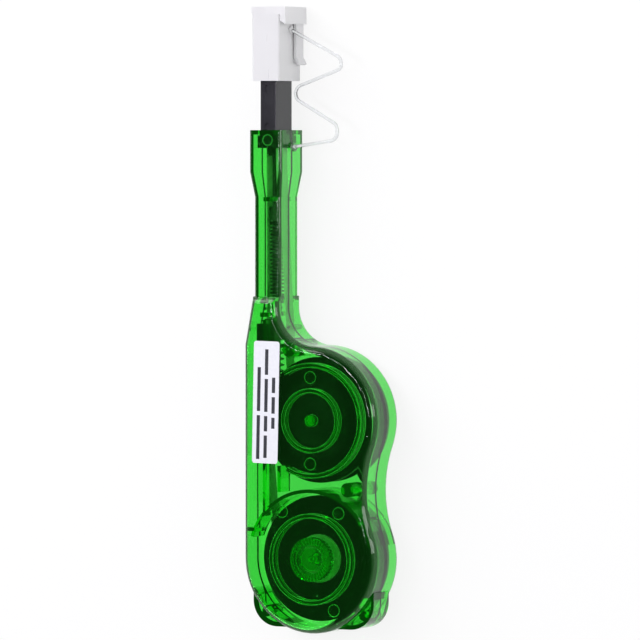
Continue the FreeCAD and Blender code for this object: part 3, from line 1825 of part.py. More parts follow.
def make_all():
    """Make every sub-part.

    Returns:
        The sub-parts, in the order of their files.
    """
    outside, shell = make_case_shell()
    return [
        make_rear_cover(outside, shell),
        make_front_cover(outside, shell),
        make_reel("takeup_reel", "takeup_y"),
        make_takeup_flange(),
        make_wound_tape("takeup_tape", "takeup_y", "takeup_pack_radius"),
        make_reel("supply_reel", "supply_y"),
        make_flange("supply_flange", "supply_y"),
        make_wound_tape("supply_tape", "supply_y", "supply_pack_radius"),
        make_supply_detent(),
        make_drive_gear(),
        make_ratchet_pawls(),
        make_rack_slider(),
        make_rod_block(),
        make_push_rod(),
        make_spring_seat(),
        make_return_spring(),
        make_guide_nose(),
        make_nose_pins(),
        make_head_carrier(),
        make_cleaning_head(),
        make_head_spring(),
        make_guide_pin(),
        make_roller_pin(),
        make_tape_roller(),
        make_tape_run(),
        make_guide_cap(),
        make_cap_lid(),
        make_cap_tether(),
        make_label(),
    ]


sub_parts = make_all()
document.recompute()
broken = [item.Name for item in document.Objects if {"Invalid", "Error"} & set(item.State)]
broken += [item.Name for item in sub_parts if item.Shape.isNull() or not item.Shape.isValid()]
if broken:
    raise ValueError("these objects failed: " + ", ".join(broken))
os.makedirs("parts", exist_ok=True)
for item in sub_parts:
    item.Label = item.Name
    item.Shape.exportStep(f"parts/{item.Label}.step")
    print(f"{item.Label}: {len(item.Shape.Solids)} solid(s), {item.Shape.Volume:.1f} mm3")
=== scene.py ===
"""Fibre connector cleaning pen: its finishes, springs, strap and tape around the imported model.

The pen lies on its rear cover. X runs across it, Y along it towards the guide cap and Z up from the
surface it lies on. Every length in the classes is in millimetres and is turned to metres when a mesh
or a material is built.
"""

import logging
import math
from dataclasses import dataclass
from enum import Enum

import bmesh
import bpy
from mathutils import Matrix, Vector


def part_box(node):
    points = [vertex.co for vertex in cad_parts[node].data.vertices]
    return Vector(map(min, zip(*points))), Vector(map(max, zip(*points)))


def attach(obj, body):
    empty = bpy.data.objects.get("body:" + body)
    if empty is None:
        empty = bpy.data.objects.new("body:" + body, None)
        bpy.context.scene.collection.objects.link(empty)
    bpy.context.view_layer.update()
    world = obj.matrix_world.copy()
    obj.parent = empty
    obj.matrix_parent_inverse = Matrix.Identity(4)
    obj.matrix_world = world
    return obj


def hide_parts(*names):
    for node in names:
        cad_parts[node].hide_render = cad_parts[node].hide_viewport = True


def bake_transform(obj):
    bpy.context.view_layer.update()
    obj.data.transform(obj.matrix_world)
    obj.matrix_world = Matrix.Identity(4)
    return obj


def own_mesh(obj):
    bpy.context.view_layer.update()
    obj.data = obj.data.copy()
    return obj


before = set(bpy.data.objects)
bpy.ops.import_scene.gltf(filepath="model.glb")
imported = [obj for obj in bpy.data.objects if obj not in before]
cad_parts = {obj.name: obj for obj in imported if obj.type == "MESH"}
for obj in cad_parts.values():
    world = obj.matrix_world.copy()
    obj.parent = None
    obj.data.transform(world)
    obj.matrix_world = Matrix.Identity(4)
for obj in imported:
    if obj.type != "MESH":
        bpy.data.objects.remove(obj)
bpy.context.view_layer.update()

LOG = logging.getLogger("cleaning_pen")
MM = 0.001
WHITE = (1.0, 1.0, 1.0, 1.0)
# The wave texture multiplies a place by this before it takes the sine.
WAVE_FACTOR = 20.0


class Body(Enum):
    """The bodies of the pen that pieces are made to ride on."""

    CASE = "case"
    NOSE = "nose"
    HEAD = "head"
    CAP = "cap"


class Grain(Enum):
    """How the surface of a mould was finished, as the size of its relief in millimetres."""

    POLISHED = 9.0
    SATIN = 0.6
    SPARKED = 0.35


def linear(hex_colour: str) -> tuple[float, float, float, float]:
    """Turn an sRGB hex colour to the linear values that a shader takes.

    Args:
        hex_colour: The colour as "#RRGGBB".

    Returns:
        Red, green, blue and an alpha of 1.
    """
    channels = [int(hex_colour[start : start + 2], 16) / 255 for start in (1, 3, 5)]
    flat = [c / 12.92 if c <= 0.04045 else ((c + 0.055) / 1.055) ** 2.4 for c in channels]
    return flat[0], flat[1], flat[2], 1.0


def per_metre(size_mm: float) -> float:
    """Return the texture scale that makes one unit of a pattern a size in millimetres."""
    return 1.0 / (size_mm * MM)


def add_node(
    tree: bpy.types.NodeTree,
    kind: str,
    settings: dict | None = None,
    inputs: dict | None = None,
) -> bpy.types.Node:
    """Add a node, set its properties, and set or link its inputs.

    Args:
        tree: The node tree that gets the node.
        kind: The node's type name.
        settings: Properties of the node by name.
        inputs: Values or output sockets by the name or number of the input.

    Returns:
        The new node.
    """
    node = tree.nodes.new(kind)
    for name, setting in (settings or {}).items():
        setattr(node, name, setting)
    for name, source in (inputs or {}).items():
        if isinstance(source, bpy.types.NodeSocket):
            tree.links.new(source, node.inputs[name])
        else:
            node.inputs[name].default_value = source
    return node


def new_material(name: str) -> bpy.types.Material:
    """Make an empty node material.

    Args:
        name: What the material is called.

    Returns:
        The new material.
    """
    material = bpy.data.materials.new(name)
    material.use_nodes = True
    material.node_tree.nodes.clear()
    return material


def add_surface(
    tree: bpy.types.NodeTree, looks: dict, pattern: bpy.types.NodeSocket, depth_mm: float
) -> bpy.types.Node:
    """Add a surface whose relief follows a pattern.

    Args:
        tree: The node tree that gets the nodes.
        looks: The other inputs of the surface's shader.
        pattern: The pattern of the relief.
        depth_mm: The height of the relief.

    Returns:
        The surface's shader node.
    """
    bump = add_node(
        tree,
        "ShaderNodeBump",
        inputs={"Height": pattern, "Strength": 1.0, "Distance": depth_mm * MM},
    )
    return add_node(
        tree, "ShaderNodeBsdfPrincipled", inputs={**looks, "Normal": bump.outputs["Normal"]}
    )


@dataclass(frozen=True)
class MouldedPlastic:
    """An injection moulded, opaque plastic with the fine relief of its mould.

    Attributes:
        name: What the material is called.
        colour: Its colour.
        shade: Its colour in the patches where the resin is a touch darker.
        roughness: The middle of its roughness.
        spread: How far the roughness varies over the surface.
        grain: The mould's finish.
        depth_mm: The height of the relief.
        ior: The resin's refractive index.
        patch_mm: The size of the patches.
        patch_edges: Where the patches' pattern reaches the shade and the colour.
    """

    name: str
    colour: str
    shade: str
    roughness: float
    spread: float
    grain: Grain
    depth_mm: float
    ior: float
    patch_mm: float = 11.0
    patch_edges: tuple[float, float] = (0.35, 0.65)

    def material(self) -> bpy.types.Material:
        """Build the material.

        Returns:
            The node material.
        """
        made = new_material(self.name)
        tree = made.node_tree
        place = add_node(tree, "ShaderNodeTexCoord")
        patches = add_node(
            tree,
            "ShaderNodeTexNoise",
            inputs={
                "Vector": place.outputs["Object"],
                "Scale": per_metre(self.patch_mm),
                "Detail": 3.0,
            },
        )
        relief = add_node(
            tree,
            "ShaderNodeTexNoise",
            inputs={
                "Vector": place.outputs["Object"],
                "Scale": per_metre(self.grain.value),
                "Detail": 2.0,
            },
        )
        colour = add_node(tree, "ShaderNodeValToRGB", inputs={"Fac": patches.outputs["Fac"]})
        stops = zip(colour.color_ramp.elements, self.patch_edges, (self.shade, self.colour))
        for stop, position, hex_colour in stops:
            stop.position = position
            stop.color = linear(hex_colour)
        rough = add_node(
            tree,
            "ShaderNodeMapRange",
            inputs={
                "Value": patches.outputs["Fac"],
                "To Min": self.roughness - self.spread,
                "To Max": self.roughness + self.spread,
            },
        )
        shader = add_surface(
            tree,
            {
                "Base Color": colour.outputs["Color"],
                "Roughness": rough.outputs["Result"],
                "IOR": self.ior,
            },
            relief.outputs["Fac"],
            self.depth_mm,
        )
        add_node(tree, "ShaderNodeOutputMaterial", inputs={"Surface": shader.outputs["BSDF"]})
        return made


@dataclass(frozen=True)
class TintedAcrylic:
    """Acrylic with a green dye, moulded in a polished tool: clear walls whose colour deepens with
    the length of plastic that the light goes through.

    The plastic also gives off a little light of its own, which brightens the walls' edges. That is
    added for the look and isn't known of the real resin, and it stays the same when the lamps change.

    Attributes:
        name: What the material is called.
        dye: The colour that the dye lets through.
        density: How strongly the dye takes the rest, per metre.
        glow: The colour of the added light.
        glow_per_metre: How much of it a metre of the plastic gives off.
        wave_mm: The spacing of the faint flow waves that the moulding leaves.
        wave_depth_mm: Their height.
        wave_along: How closely they stand along the pen, as a share of how closely across it.
        rub_mm: The size of the patches that handling leaves.
        rub_edges: Where the patches' pattern starts to be hazy and where it is fully so.
        roughness: The roughness of the polished skin, before the haze of handling.
        haze: How much handling adds to it in patches.
        ior: Acrylic's refractive index.
    """

    name: str = "tinted_acrylic_polished"
    dye: str = "#35F54C"
    density: float = 800.0
    glow: str = "#0CF03A"
    glow_per_metre: float = 10.0
    wave_mm: float = 14.0
    wave_depth_mm: float = 0.03
    wave_along: float = 0.35
    rub_mm: float = 6.0
    rub_edges: tuple[float, float] = (0.45, 0.8)
    roughness: float = 0.015
    haze: float = 0.06
    ior: float = 1.49

    def material(self) -> bpy.types.Material:
        """Build the material.

        Returns:
            The node material, with the dye and the added light in its volume.
        """
        made = new_material(self.name)
        tree = made.node_tree
        place = add_node(tree, "ShaderNodeTexCoord")
        along = add_node(
            tree,
            "ShaderNodeMapping",
            inputs={"Vector": place.outputs["Object"], "Scale": (1.0, self.wave_along, 1.0)},
        )
        waves = add_node(
            tree,
            "ShaderNodeTexNoise",
            inputs={"Vector": along.outputs["Vector"], "Scale": per_metre(self.wave_mm)},
        )
        rubs = add_node(
            tree,
            "ShaderNodeTexNoise",
            inputs={
                "Vector": place.outputs["Object"],
                "Scale": per_metre(self.rub_mm),
                "Detail": 4.0,
            },
        )
        rough = add_node(
            tree,
            "ShaderNodeMapRange",
            inputs={
                "Value": rubs.outputs["Fac"],
                "From Min": self.rub_edges[0],
                "From Max": self.rub_edges[1],
                "To Min": self.roughness,
                "To Max": self.roughness + self.haze,
            },
        )
        shader = add_surface(
            tree,
            {
                "Base Color": WHITE,
                "Transmission Weight": 1.0,
                "Roughness": rough.outputs["Result"],
                "IOR": self.ior,
            },
            waves.outputs["Fac"],
            self.wave_depth_mm,
        )
        dye = add_node(
            tree,
            "ShaderNodeVolumeAbsorption",
            inputs={"Color": linear(self.dye), "Density": self.density},
        )
        glow = add_node(
            tree,
            "ShaderNodeEmission",
            inputs={"Color": linear(self.glow), "Strength": self.glow_per_metre},
        )
        body = add_node(
            tree, "ShaderNodeAddShader", inputs={0: dye.outputs["Volume"], 1: glow.outputs["Emission"]}
        )
        add_node(
            tree,
            "ShaderNodeOutputMaterial",
            inputs={"Surface": shader.outputs["BSDF"], "Volume": body.outputs["Shader"]},
        )
        return made


@dataclass(frozen=True)
class TranslucentPlastic:
    """An undyed, see-through plastic, from milky polypropylene to a clear strap.

    Attributes:
        name: What the material is called.
        colour: The tint that light keeps on its way through.
        roughness: How much the plastic blurs what is behind it.
        transmission: The share of light that goes through instead of scattering back.
        streak_mm: The spacing of the streaks that the flow of the melt leaves.
        streak_depth_mm: Their height.
        ior: The plastic's refractive index.
        streak_along: How closely they stand along the pen, as a share of how closely across it.
        spread: How far the roughness varies, as a share of it.
    """

    name: str
    colour: str
    roughness: float
    transmission: float
    streak_mm: float
    streak_depth_mm: float
    ior: float = 1.49
    streak_along: float = 0.08
    spread: float = 0.2

    def material(self) -> bpy.types.Material:
        """Build the material.

        Returns:
            The node material.
        """
        made = new_material(self.name)
        tree = made.node_tree
        place = add_node(tree, "ShaderNodeTexCoord")
        along = add_node(
            tree,
            "ShaderNodeMapping",
            inputs={"Vector": place.outputs["Object"], "Scale": (1.0, self.streak_along, 1.0)},
        )
        streaks = add_node(
            tree,
            "ShaderNodeTexNoise",
            inputs={
                "Vector": along.outputs["Vector"],
                "Scale": per_metre(self.streak_mm),
                "Detail": 3.0,
            },
        )
        rough = add_node(
            tree,
            "ShaderNodeMapRange",
            inputs={
                "Value": streaks.outputs["Fac"],
                "To Min": self.roughness * (1 - self.spread),
                "To Max": self.roughness * (1 + self.spread),
            },
        )
        shader = add_surface(
            tree,
            {
                "Base Color": linear(self.colour),
                "Transmission Weight": self.transmission,
                "Roughness": rough.outputs["Result"],
                "IOR": self.ior,
            },
            streaks.outputs["Fac"],
            self.streak_depth_mm,
        )
        add_node(tree, "ShaderNodeOutputMaterial", inputs={"Surface": shader.outputs["BSDF"]})
        return made


@dataclass(frozen=True)
class DrawnSteel:
    """Steel drawn or ground to size: a smooth metal whose gloss varies a little from spot to spot.

    Attributes:
        name: What the material is called.
        colour: The metal's colour, with the coat that it may have.
        roughness: The middle of its roughness.
        spot_mm: The size of the spots.
        spread: How far the roughness varies, as a share of it.
    """

    name: str
    colour: str
    roughness: float
    spot_mm: float = 0.4
    spread: float = 0.3

    def material(self) -> bpy.types.Material:
        """Build the material.

        Returns:
            The node material.
        """
        made = new_material(self.name)
        tree = made.node_tree
        place = add_node(tree, "ShaderNodeTexCoord")
        spots = add_node(
            tree,
            "ShaderNodeTexNoise",
            inputs={
                "Vector": place.outputs["Object"],
                "Scale": per_metre(self.spot_mm),
                "Detail": 4.0,
            },
        )
        rough = add_node(
            tree,
            "ShaderNodeMapRange",
            inputs={
                "Value": spots.outputs["Fac"],
                "To Min": self.roughness * (1 - self.spread),
                "To Max": self.roughness * (1 + self.spread),
            },
        )
        shader = add_node(
            tree,
            "ShaderNodeBsdfPrincipled",
            inputs={
                "Base Color": linear(self.colour),
                "Metallic": 1.0,
                "Roughness": rough.outputs["Result"],
            },
        )
        add_node(tree, "ShaderNodeOutputMaterial", inputs={"Surface": shader.outputs["BSDF"]})
        return made


@dataclass(frozen=True)
class WovenMicrofibre:
    """Woven microfibre ribbon: a soft white with the cross-grain of its weave, drawn at 0.6 mm
    because its real threads are too fine to show.

    Attributes:
        name: What the material is called.
        colour: The yarn's colour.
        thread_mm: The spacing of the threads.
        depth_mm: How far the threads stand out.
        waver: How far the threads stray from a straight line.
        roughness: The roughness of the yarn.
        sheen: The share of the soft light at its grazing edges.
    """

    name: str = "microfibre_woven"
    colour: str = "#F1F2EC"
    thread_mm: float = 0.6
    depth_mm: float = 0.05
    waver: float = 0.6
    roughness: float = 0.85
    sheen: float = 0.3

    def material(self) -> bpy.types.Material:
        """Build the material.

        Returns:
            The node material.
        """
        made = new_material(self.name)
        tree = made.node_tree
        place = add_node(tree, "ShaderNodeTexCoord")
        threads = [
            add_node(
                tree,
                "ShaderNodeTexWave",
                {"bands_direction": direction},
                {
                    "Vector": place.outputs["Object"],
                    "Scale": per_metre(self.thread_mm) * 2 * math.pi / WAVE_FACTOR,
                    "Distortion": self.waver,
                },
            )
            for direction in ("Y", "Z")
        ]
        weave = add_node(
            tree,
            "ShaderNodeMath",
            {"operation": "MULTIPLY"},
            {0: threads[0].outputs["Fac"], 1: threads[1].outputs["Fac"]},
        )
        shader = add_surface(
            tree,
            {
                "Base Color": linear(self.colour),
                "Roughness": self.roughness,
                "Sheen Weight": self.sheen,
            },
            weave.outputs["Value"],
            self.depth_mm,
        )
        add_node(tree, "ShaderNodeOutputMaterial", inputs={"Surface": shader.outputs["BSDF"]})
        return made


@dataclass(frozen=True)
class CoatedPaper:
    """A white coated paper label: smooth and half glossy, with faint cloudy patches.

    Attributes:
        name: What the material is called.
        colour: The paper's colour.
        fibre: The colour of the cloudy patches that the pulp leaves.
        pulp_mm: The size of the patches.
        pulp_edge: Where the patches' pattern reaches the paper's colour.
        depth_mm: The height of the coating's unevenness.
        roughness: The roughness of the coating.
    """

    name: str = "coated_paper"
    colour: str = "#F3F4FA"
    fibre: str = "#E9EAF3"
    pulp_mm: float = 1.2
    pulp_edge: float = 0.6
    depth_mm: float = 0.008
    roughness: float = 0.38

    def material(self) -> bpy.types.Material:
        """Build the material.

        Returns:
            The node material.
        """
        made = new_material(self.name)
        tree = made.node_tree
        place = add_node(tree, "ShaderNodeTexCoord")
        pulp = add_node(
            tree,
            "ShaderNodeTexNoise",
            inputs={
                "Vector": place.outputs["Object"],
                "Scale": per_metre(self.pulp_mm),
                "Detail": 5.0,
            },
        )
        colour = add_node(tree, "ShaderNodeValToRGB", inputs={"Fac": pulp.outputs["Fac"]})
        colour.color_ramp.elements[0].color = linear(self.fibre)
        colour.color_ramp.elements[1].position = self.pulp_edge
        colour.color_ramp.elements[1].color = linear(self.colour)
        shader = add_surface(
            tree,
            {"Base Color": colour.outputs["Color"], "Roughness": self.roughness},
            pulp.outputs["Fac"],
            self.depth_mm,
        )
        add_node(tree, "ShaderNodeOutputMaterial", inputs={"Surface": shader.outputs["BSDF"]})
        return made


@dataclass(frozen=True)
class Palette:
    """The finishes of the pen, each made once.

    Attributes:
        case: The clear green case.
        black: The nose, the rod's parts, the rack and the gear.
        reel: The reels.
        clutch: The pawls, the detent and the roller.
        grey: The cleaning head.
        milky: The guide cap, its lid and the strap's tab.
        clear: The strap and its button.
        edge: The pale beads that paint the highlights along the ribs' edges and round the nose's boss.
        wire: The springs.
        pin: The guide pins.
        tape: The cleaning tape.
        paper: The label.
        ink: Its print.
    """

    case: bpy.types.Material
    black: bpy.types.Material
    reel: bpy.types.Material
    clutch: bpy.types.Material
    grey: bpy.types.Material
    milky: bpy.types.Material
    clear: bpy.types.Material
    edge: bpy.types.Material
    wire: bpy.types.Material
    pin: bpy.types.Material
    tape: bpy.types.Material
    paper: bpy.types.Material
    ink: bpy.types.Material

    @classmethod
    def mix(cls) -> "Palette":
        """Make every finish.

        Returns:
            The pen's finishes.
        """
        return cls(
            case=TintedAcrylic().material(),
            black=MouldedPlastic(
                "abs_black_satin",
                "#17181E",
                "#121318",
                roughness=0.25,
                spread=0.05,
                grain=Grain.SATIN,
                depth_mm=0.006,
                ior=1.53,
            ).material(),
            reel=MouldedPlastic(
                "polystyrene_black_gloss",
                "#0B0F0C",
                "#070A08",
                roughness=0.12,
                spread=0.04,
                grain=Grain.POLISHED,
                depth_mm=0.01,
                ior=1.58,
            ).material(),
            clutch=MouldedPlastic(
                "acetal_natural",
                "#E8EBE2",
                "#DDE1D6",
                roughness=0.3,
                spread=0.05,
                grain=Grain.SATIN,
                depth_mm=0.004,
                ior=1.48,
            ).material(),
            grey=MouldedPlastic(
                "pbt_grey",
                "#8A8E90",
                "#7F8385",
                roughness=0.4,
                spread=0.06,
                grain=Grain.SATIN,
                depth_mm=0.004,
                ior=1.55,
            ).material(),
            milky=TranslucentPlastic(
                "polypropylene_milky",
                "#FCFCFD",
                roughness=0.3,
                transmission=0.25,
                streak_mm=0.9,
                streak_depth_mm=0.012,
            ).material(),
            clear=TranslucentPlastic(
                "polyurethane_clear",
                "#F6F8F9",
                roughness=0.2,
                transmission=0.9,
                streak_mm=1.5,
                streak_depth_mm=0.004,
            ).material(),
            # Pale and opaque: painted highlights along the ribs' edges and round the nose's boss, not a
            # material of the case.
            edge=MouldedPlastic(
                "rib_edge_painted_highlight",
                "#DCFFE4",
                "#C8F8D2",
                roughness=0.2,
                spread=0.05,
                grain=Grain.POLISHED,
                depth_mm=0.002,
                ior=1.49,
            ).material(),
            wire=DrawnSteel("spring_steel_phosphated", "#232427", 0.38).material(),
            pin=DrawnSteel("steel_ground", "#C9CBD0", 0.2).material(),
            tape=WovenMicrofibre().material(),
            paper=CoatedPaper().material(),
            ink=MouldedPlastic(
                "printing_ink_dark",
                "#33353D",
                "#2B2D34",
                roughness=0.45,
                spread=0.04,
                grain=Grain.SPARKED,
                depth_mm=0.002,
                ior=1.5,
            ).material(),
        )


def dress(material: bpy.types.Material, *nodes: str) -> None:
    """Give carried CAD nodes a finish.

    Args:
        material: The finish.
        nodes: The names of the CAD nodes.
    """
    for name in nodes:
        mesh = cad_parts[name].data
        mesh.materials.clear()
        mesh.materials.append(material)


def new_piece(
    name: str, mesh_data: bmesh.types.BMesh, material: bpy.types.Material, smooth: bool = True
) -> bpy.types.Object:
    """Turn a finished mesh into an object of the scene.

    Args:
        name: The piece's name.
        mesh_data: Its mesh, in millimetres. It is freed.
        material: Its finish.
        smooth: Whether its faces are shaded smooth.

    Returns:
        The new object, in metres.
    """
    bmesh.ops.scale(mesh_data, vec=(MM, MM, MM), verts=mesh_data.verts)
    bmesh.ops.recalc_face_normals(mesh_data, faces=mesh_data.faces)
    mesh = bpy.data.meshes.new(name)
    mesh_data.to_mesh(mesh)
    mesh_data.free()
    mesh.materials.append(material)
    for face in mesh.polygons:
        face.use_smooth = smooth
    piece = bpy.data.objects.new(name, mesh)
    bpy.context.scene.collection.objects.link(piece)
    return piece


def node_box(name: str) -> tuple[Vector, Vector]:
    """Return a CAD node's lowest and highest corners in millimetres."""
    low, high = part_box(name)
    return Vector(low) / MM, Vector(high) / MM


def node_middle(name: str) -> Vector:
    """Return the middle of a CAD node's box in millimetres."""
    low, high = node_box(name)
    return (low + high) / 2


def half_width(name: str) -> float:
    """Return half the width of a CAD node across the pen, in millimetres."""
    low, high = node_box(name)
    return (high.x - low.x) / 2


def rounded_route(corners: list[Vector], radii: list[float], step: float) -> list[Vector]:
    """Round the inner corners of a route with arcs.

    Args:
        corners: The route's ends and corners.
        radii: The arc radius at each inner corner.
        step: The turn between two points of an arc, in radians.

    Returns:
        The points of the rounded route.
    """
    points = [corners[0]]
    for before, corner, after, radius in zip(corners, corners[1:], corners[2:], radii):
        back, ahead = (before - corner).normalized(), (after - corner).normalized()
        half = math.acos(max(-1.0, min(1.0, back.dot(ahead)))) / 2
        reach = radius / math.tan(half)
        first = corner + back * reach
        centre = corner + (back + ahead).normalized() * (radius / math.sin(half))
        sweep = math.pi - 2 * half
        spoke = first - centre
        turn_axis = back.cross(ahead).normalized()
        count = max(2, math.ceil(sweep / step))
        for index in range(count + 1):
            turn = Matrix.Rotation(-sweep * index / count, 3, turn_axis)
            points.append(centre + turn @ spoke)
    points.append(corners[-1])
    return points


def skin(
    made: bmesh.types.BMesh, rings: list[list[bmesh.types.BMVert]], joined: bool = False
) -> None:
    """Lay faces between rings of corners, and over both ends where they aren't joined.

    Args:
        made: The mesh that the rings belong to.
        rings: The rings in order, each with as many corners.
        joined: Whether the last ring leads back to the first.
    """
    followings = rings[1:] + rings[:1] if joined else rings[1:]
    for ring, following in zip(rings, followings):
        for corner in range(len(ring)):
            other = (corner + 1) % len(ring)
            made.faces.new((ring[corner], ring[other], following[other], following[corner]))
    if not joined:
        made.faces.new(rings[0][::-1])
        made.faces.new(rings[-1])


def tube(
    made: bmesh.types.BMesh, route: list[Vector], radius: float, sides: int, joined: bool = False
) -> None:
    """Sweep a round section along a route.

    Args:
        made: The mesh that gets the tube.
        route: The points of the middle line.
        radius: The section's radius.
        sides: The number of sides of the section.
        joined: Whether the last point leads back to the first, as in a ring.
    """
    rings = []
    normal = Vector((0, 0, 1))
    last = len(route) - 1
    for index, point in enumerate(route):
        before = route[index - 1 if joined else max(index - 1, 0)]
        after = route[(index + 1) % len(route) if joined else min(index + 1, last)]
        along = (after - before).normalized()
        normal = (normal - along * normal.dot(along)).normalized()
        side = along.cross(normal)
        turns = [2 * math.pi * corner / sides for corner in range(sides)]
        offs = [side * math.cos(turn) + normal * math.sin(turn) for turn in turns]
        rings.append([made.verts.new(point + off * radius) for off in offs])
    skin(made, rings, joined)


def lathe(
    made: bmesh.types.BMesh, foot: Vector, along: Vector, profile: list[tuple[float, float]], sides: int
) -> None:
    """Turn a profile round a line, closed at both ends.

    Args:
        made: The mesh that gets the turned solid.
        foot: Where the line starts.
        along: The line's direction.
        profile: Distance along the line and radius, from the foot to the head.
        sides: The number of sides; four gives a square section.
    """
    across = along.orthogonal().normalized()
    rings = []
    for distance, radius in profile:
        middle = foot + along * distance
        ring = []
        for corner in range(sides):
            turn = Matrix.Rotation(2 * math.pi * (corner + 0.5) / sides, 3, along)
            ring.append(made.verts.new(middle + turn @ across * radius))
        rings.append(ring)
    skin(made, rings)


@dataclass
class CoilSpring:
    """A compression spring with closed ends, wound about a line along Y.

    Attributes:
        node: The CAD node it stands for.
        wire_mm: The wire's diameter.
        coils: The number of turns.
        closed: The turns at each end that lie against each other.
        turn_points: The points of the middle line in one turn.
        sides: The sides of the wire's section.
    """

    node: str
    wire_mm: float
    coils: float
    closed: float = 1.0
    turn_points: int = 20
    sides: int = 10

    def middle_line(self) -> list[Vector]:
        """Work out the wire's middle line from the CAD node's box.

        Returns:
            The points of the line.
        """
        low, high = node_box(self.node)
        centre = (low + high) / 2
        radius = (high.z - low.z - self.wire_mm) / 2
        first, last = low.y + self.wire_mm / 2, high.y - self.wire_mm / 2
        pitch = (last - first - 2 * self.closed * self.wire_mm) / (self.coils - 2 * self.closed)
        points = []
        rise = first
        count = round(self.coils * self.turn_points)
        for index in range(count + 1):
            turns = index / self.turn_points
            turn = 2 * math.pi * turns
            points.append(
                Vector((centre.x + radius * math.cos(turn), rise, centre.z + radius * math.sin(turn)))
            )
            at_end = turns < self.closed or turns > self.coils - self.closed
            rise += (self.wire_mm if at_end else pitch) / self.turn_points
        return points

    def build(self, name: str, material: bpy.types.Material) -> bpy.types.Object:
        """Wind the spring.

        Args:
            name: The piece's name.
            material: The wire's finish.

        Returns:
            The spring, which stands for its CAD node.
        """
        made = bmesh.new()
        tube(made, self.middle_line(), self.wire_mm / 2, self.sides)
        piece = new_piece(name, made, material)
        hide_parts(self.node)
        return piece


@dataclass
class SpringPack:
    """The return spring in the neck and the small spring behind the cleaning head.

    Attributes:
        return_wire_mm: The return spring's wire.
        return_coils: Its turns.
        return_closed: The turns at each of its ends that lie against each other.
        return_keep: The share of its length that is left with the nose pressed in; not used.
        head_wire_mm: The head spring's wire.
        head_coils: Its turns.
        head_closed: The turns at each of its ends that lie against each other.
        head_keep: The share of its length that is left with the head pressed in; not used.
    """

    return_wire_mm: float = 0.5
    return_coils: float = 23
    return_closed: float = 1.5
    return_keep: float = 0.509
    head_wire_mm: float = 0.3
    head_coils: float = 4
    head_closed: float = 0.5
    head_keep: float = 0.375

    def build(self, finishes: Palette) -> None:
        """Wind both springs and attach them to the case and the nose.

        Args:
            finishes: The pen's finishes.
        """
        spring = CoilSpring(
            "return_spring", self.return_wire_mm, self.return_coils, self.return_closed
        ).build("return_spring_coil", finishes.wire)
        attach(spring, Body.CASE.value)
        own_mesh(spring)
        LOG.info("return spring: %d coils", self.return_coils)
        spring = CoilSpring(
            "head_spring", self.head_wire_mm, self.head_coils, self.head_closed
        ).build("head_spring_coil", finishes.wire)
        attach(spring, Body.NOSE.value)
        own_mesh(spring)
        LOG.info("head spring: %d coils", self.head_coils)


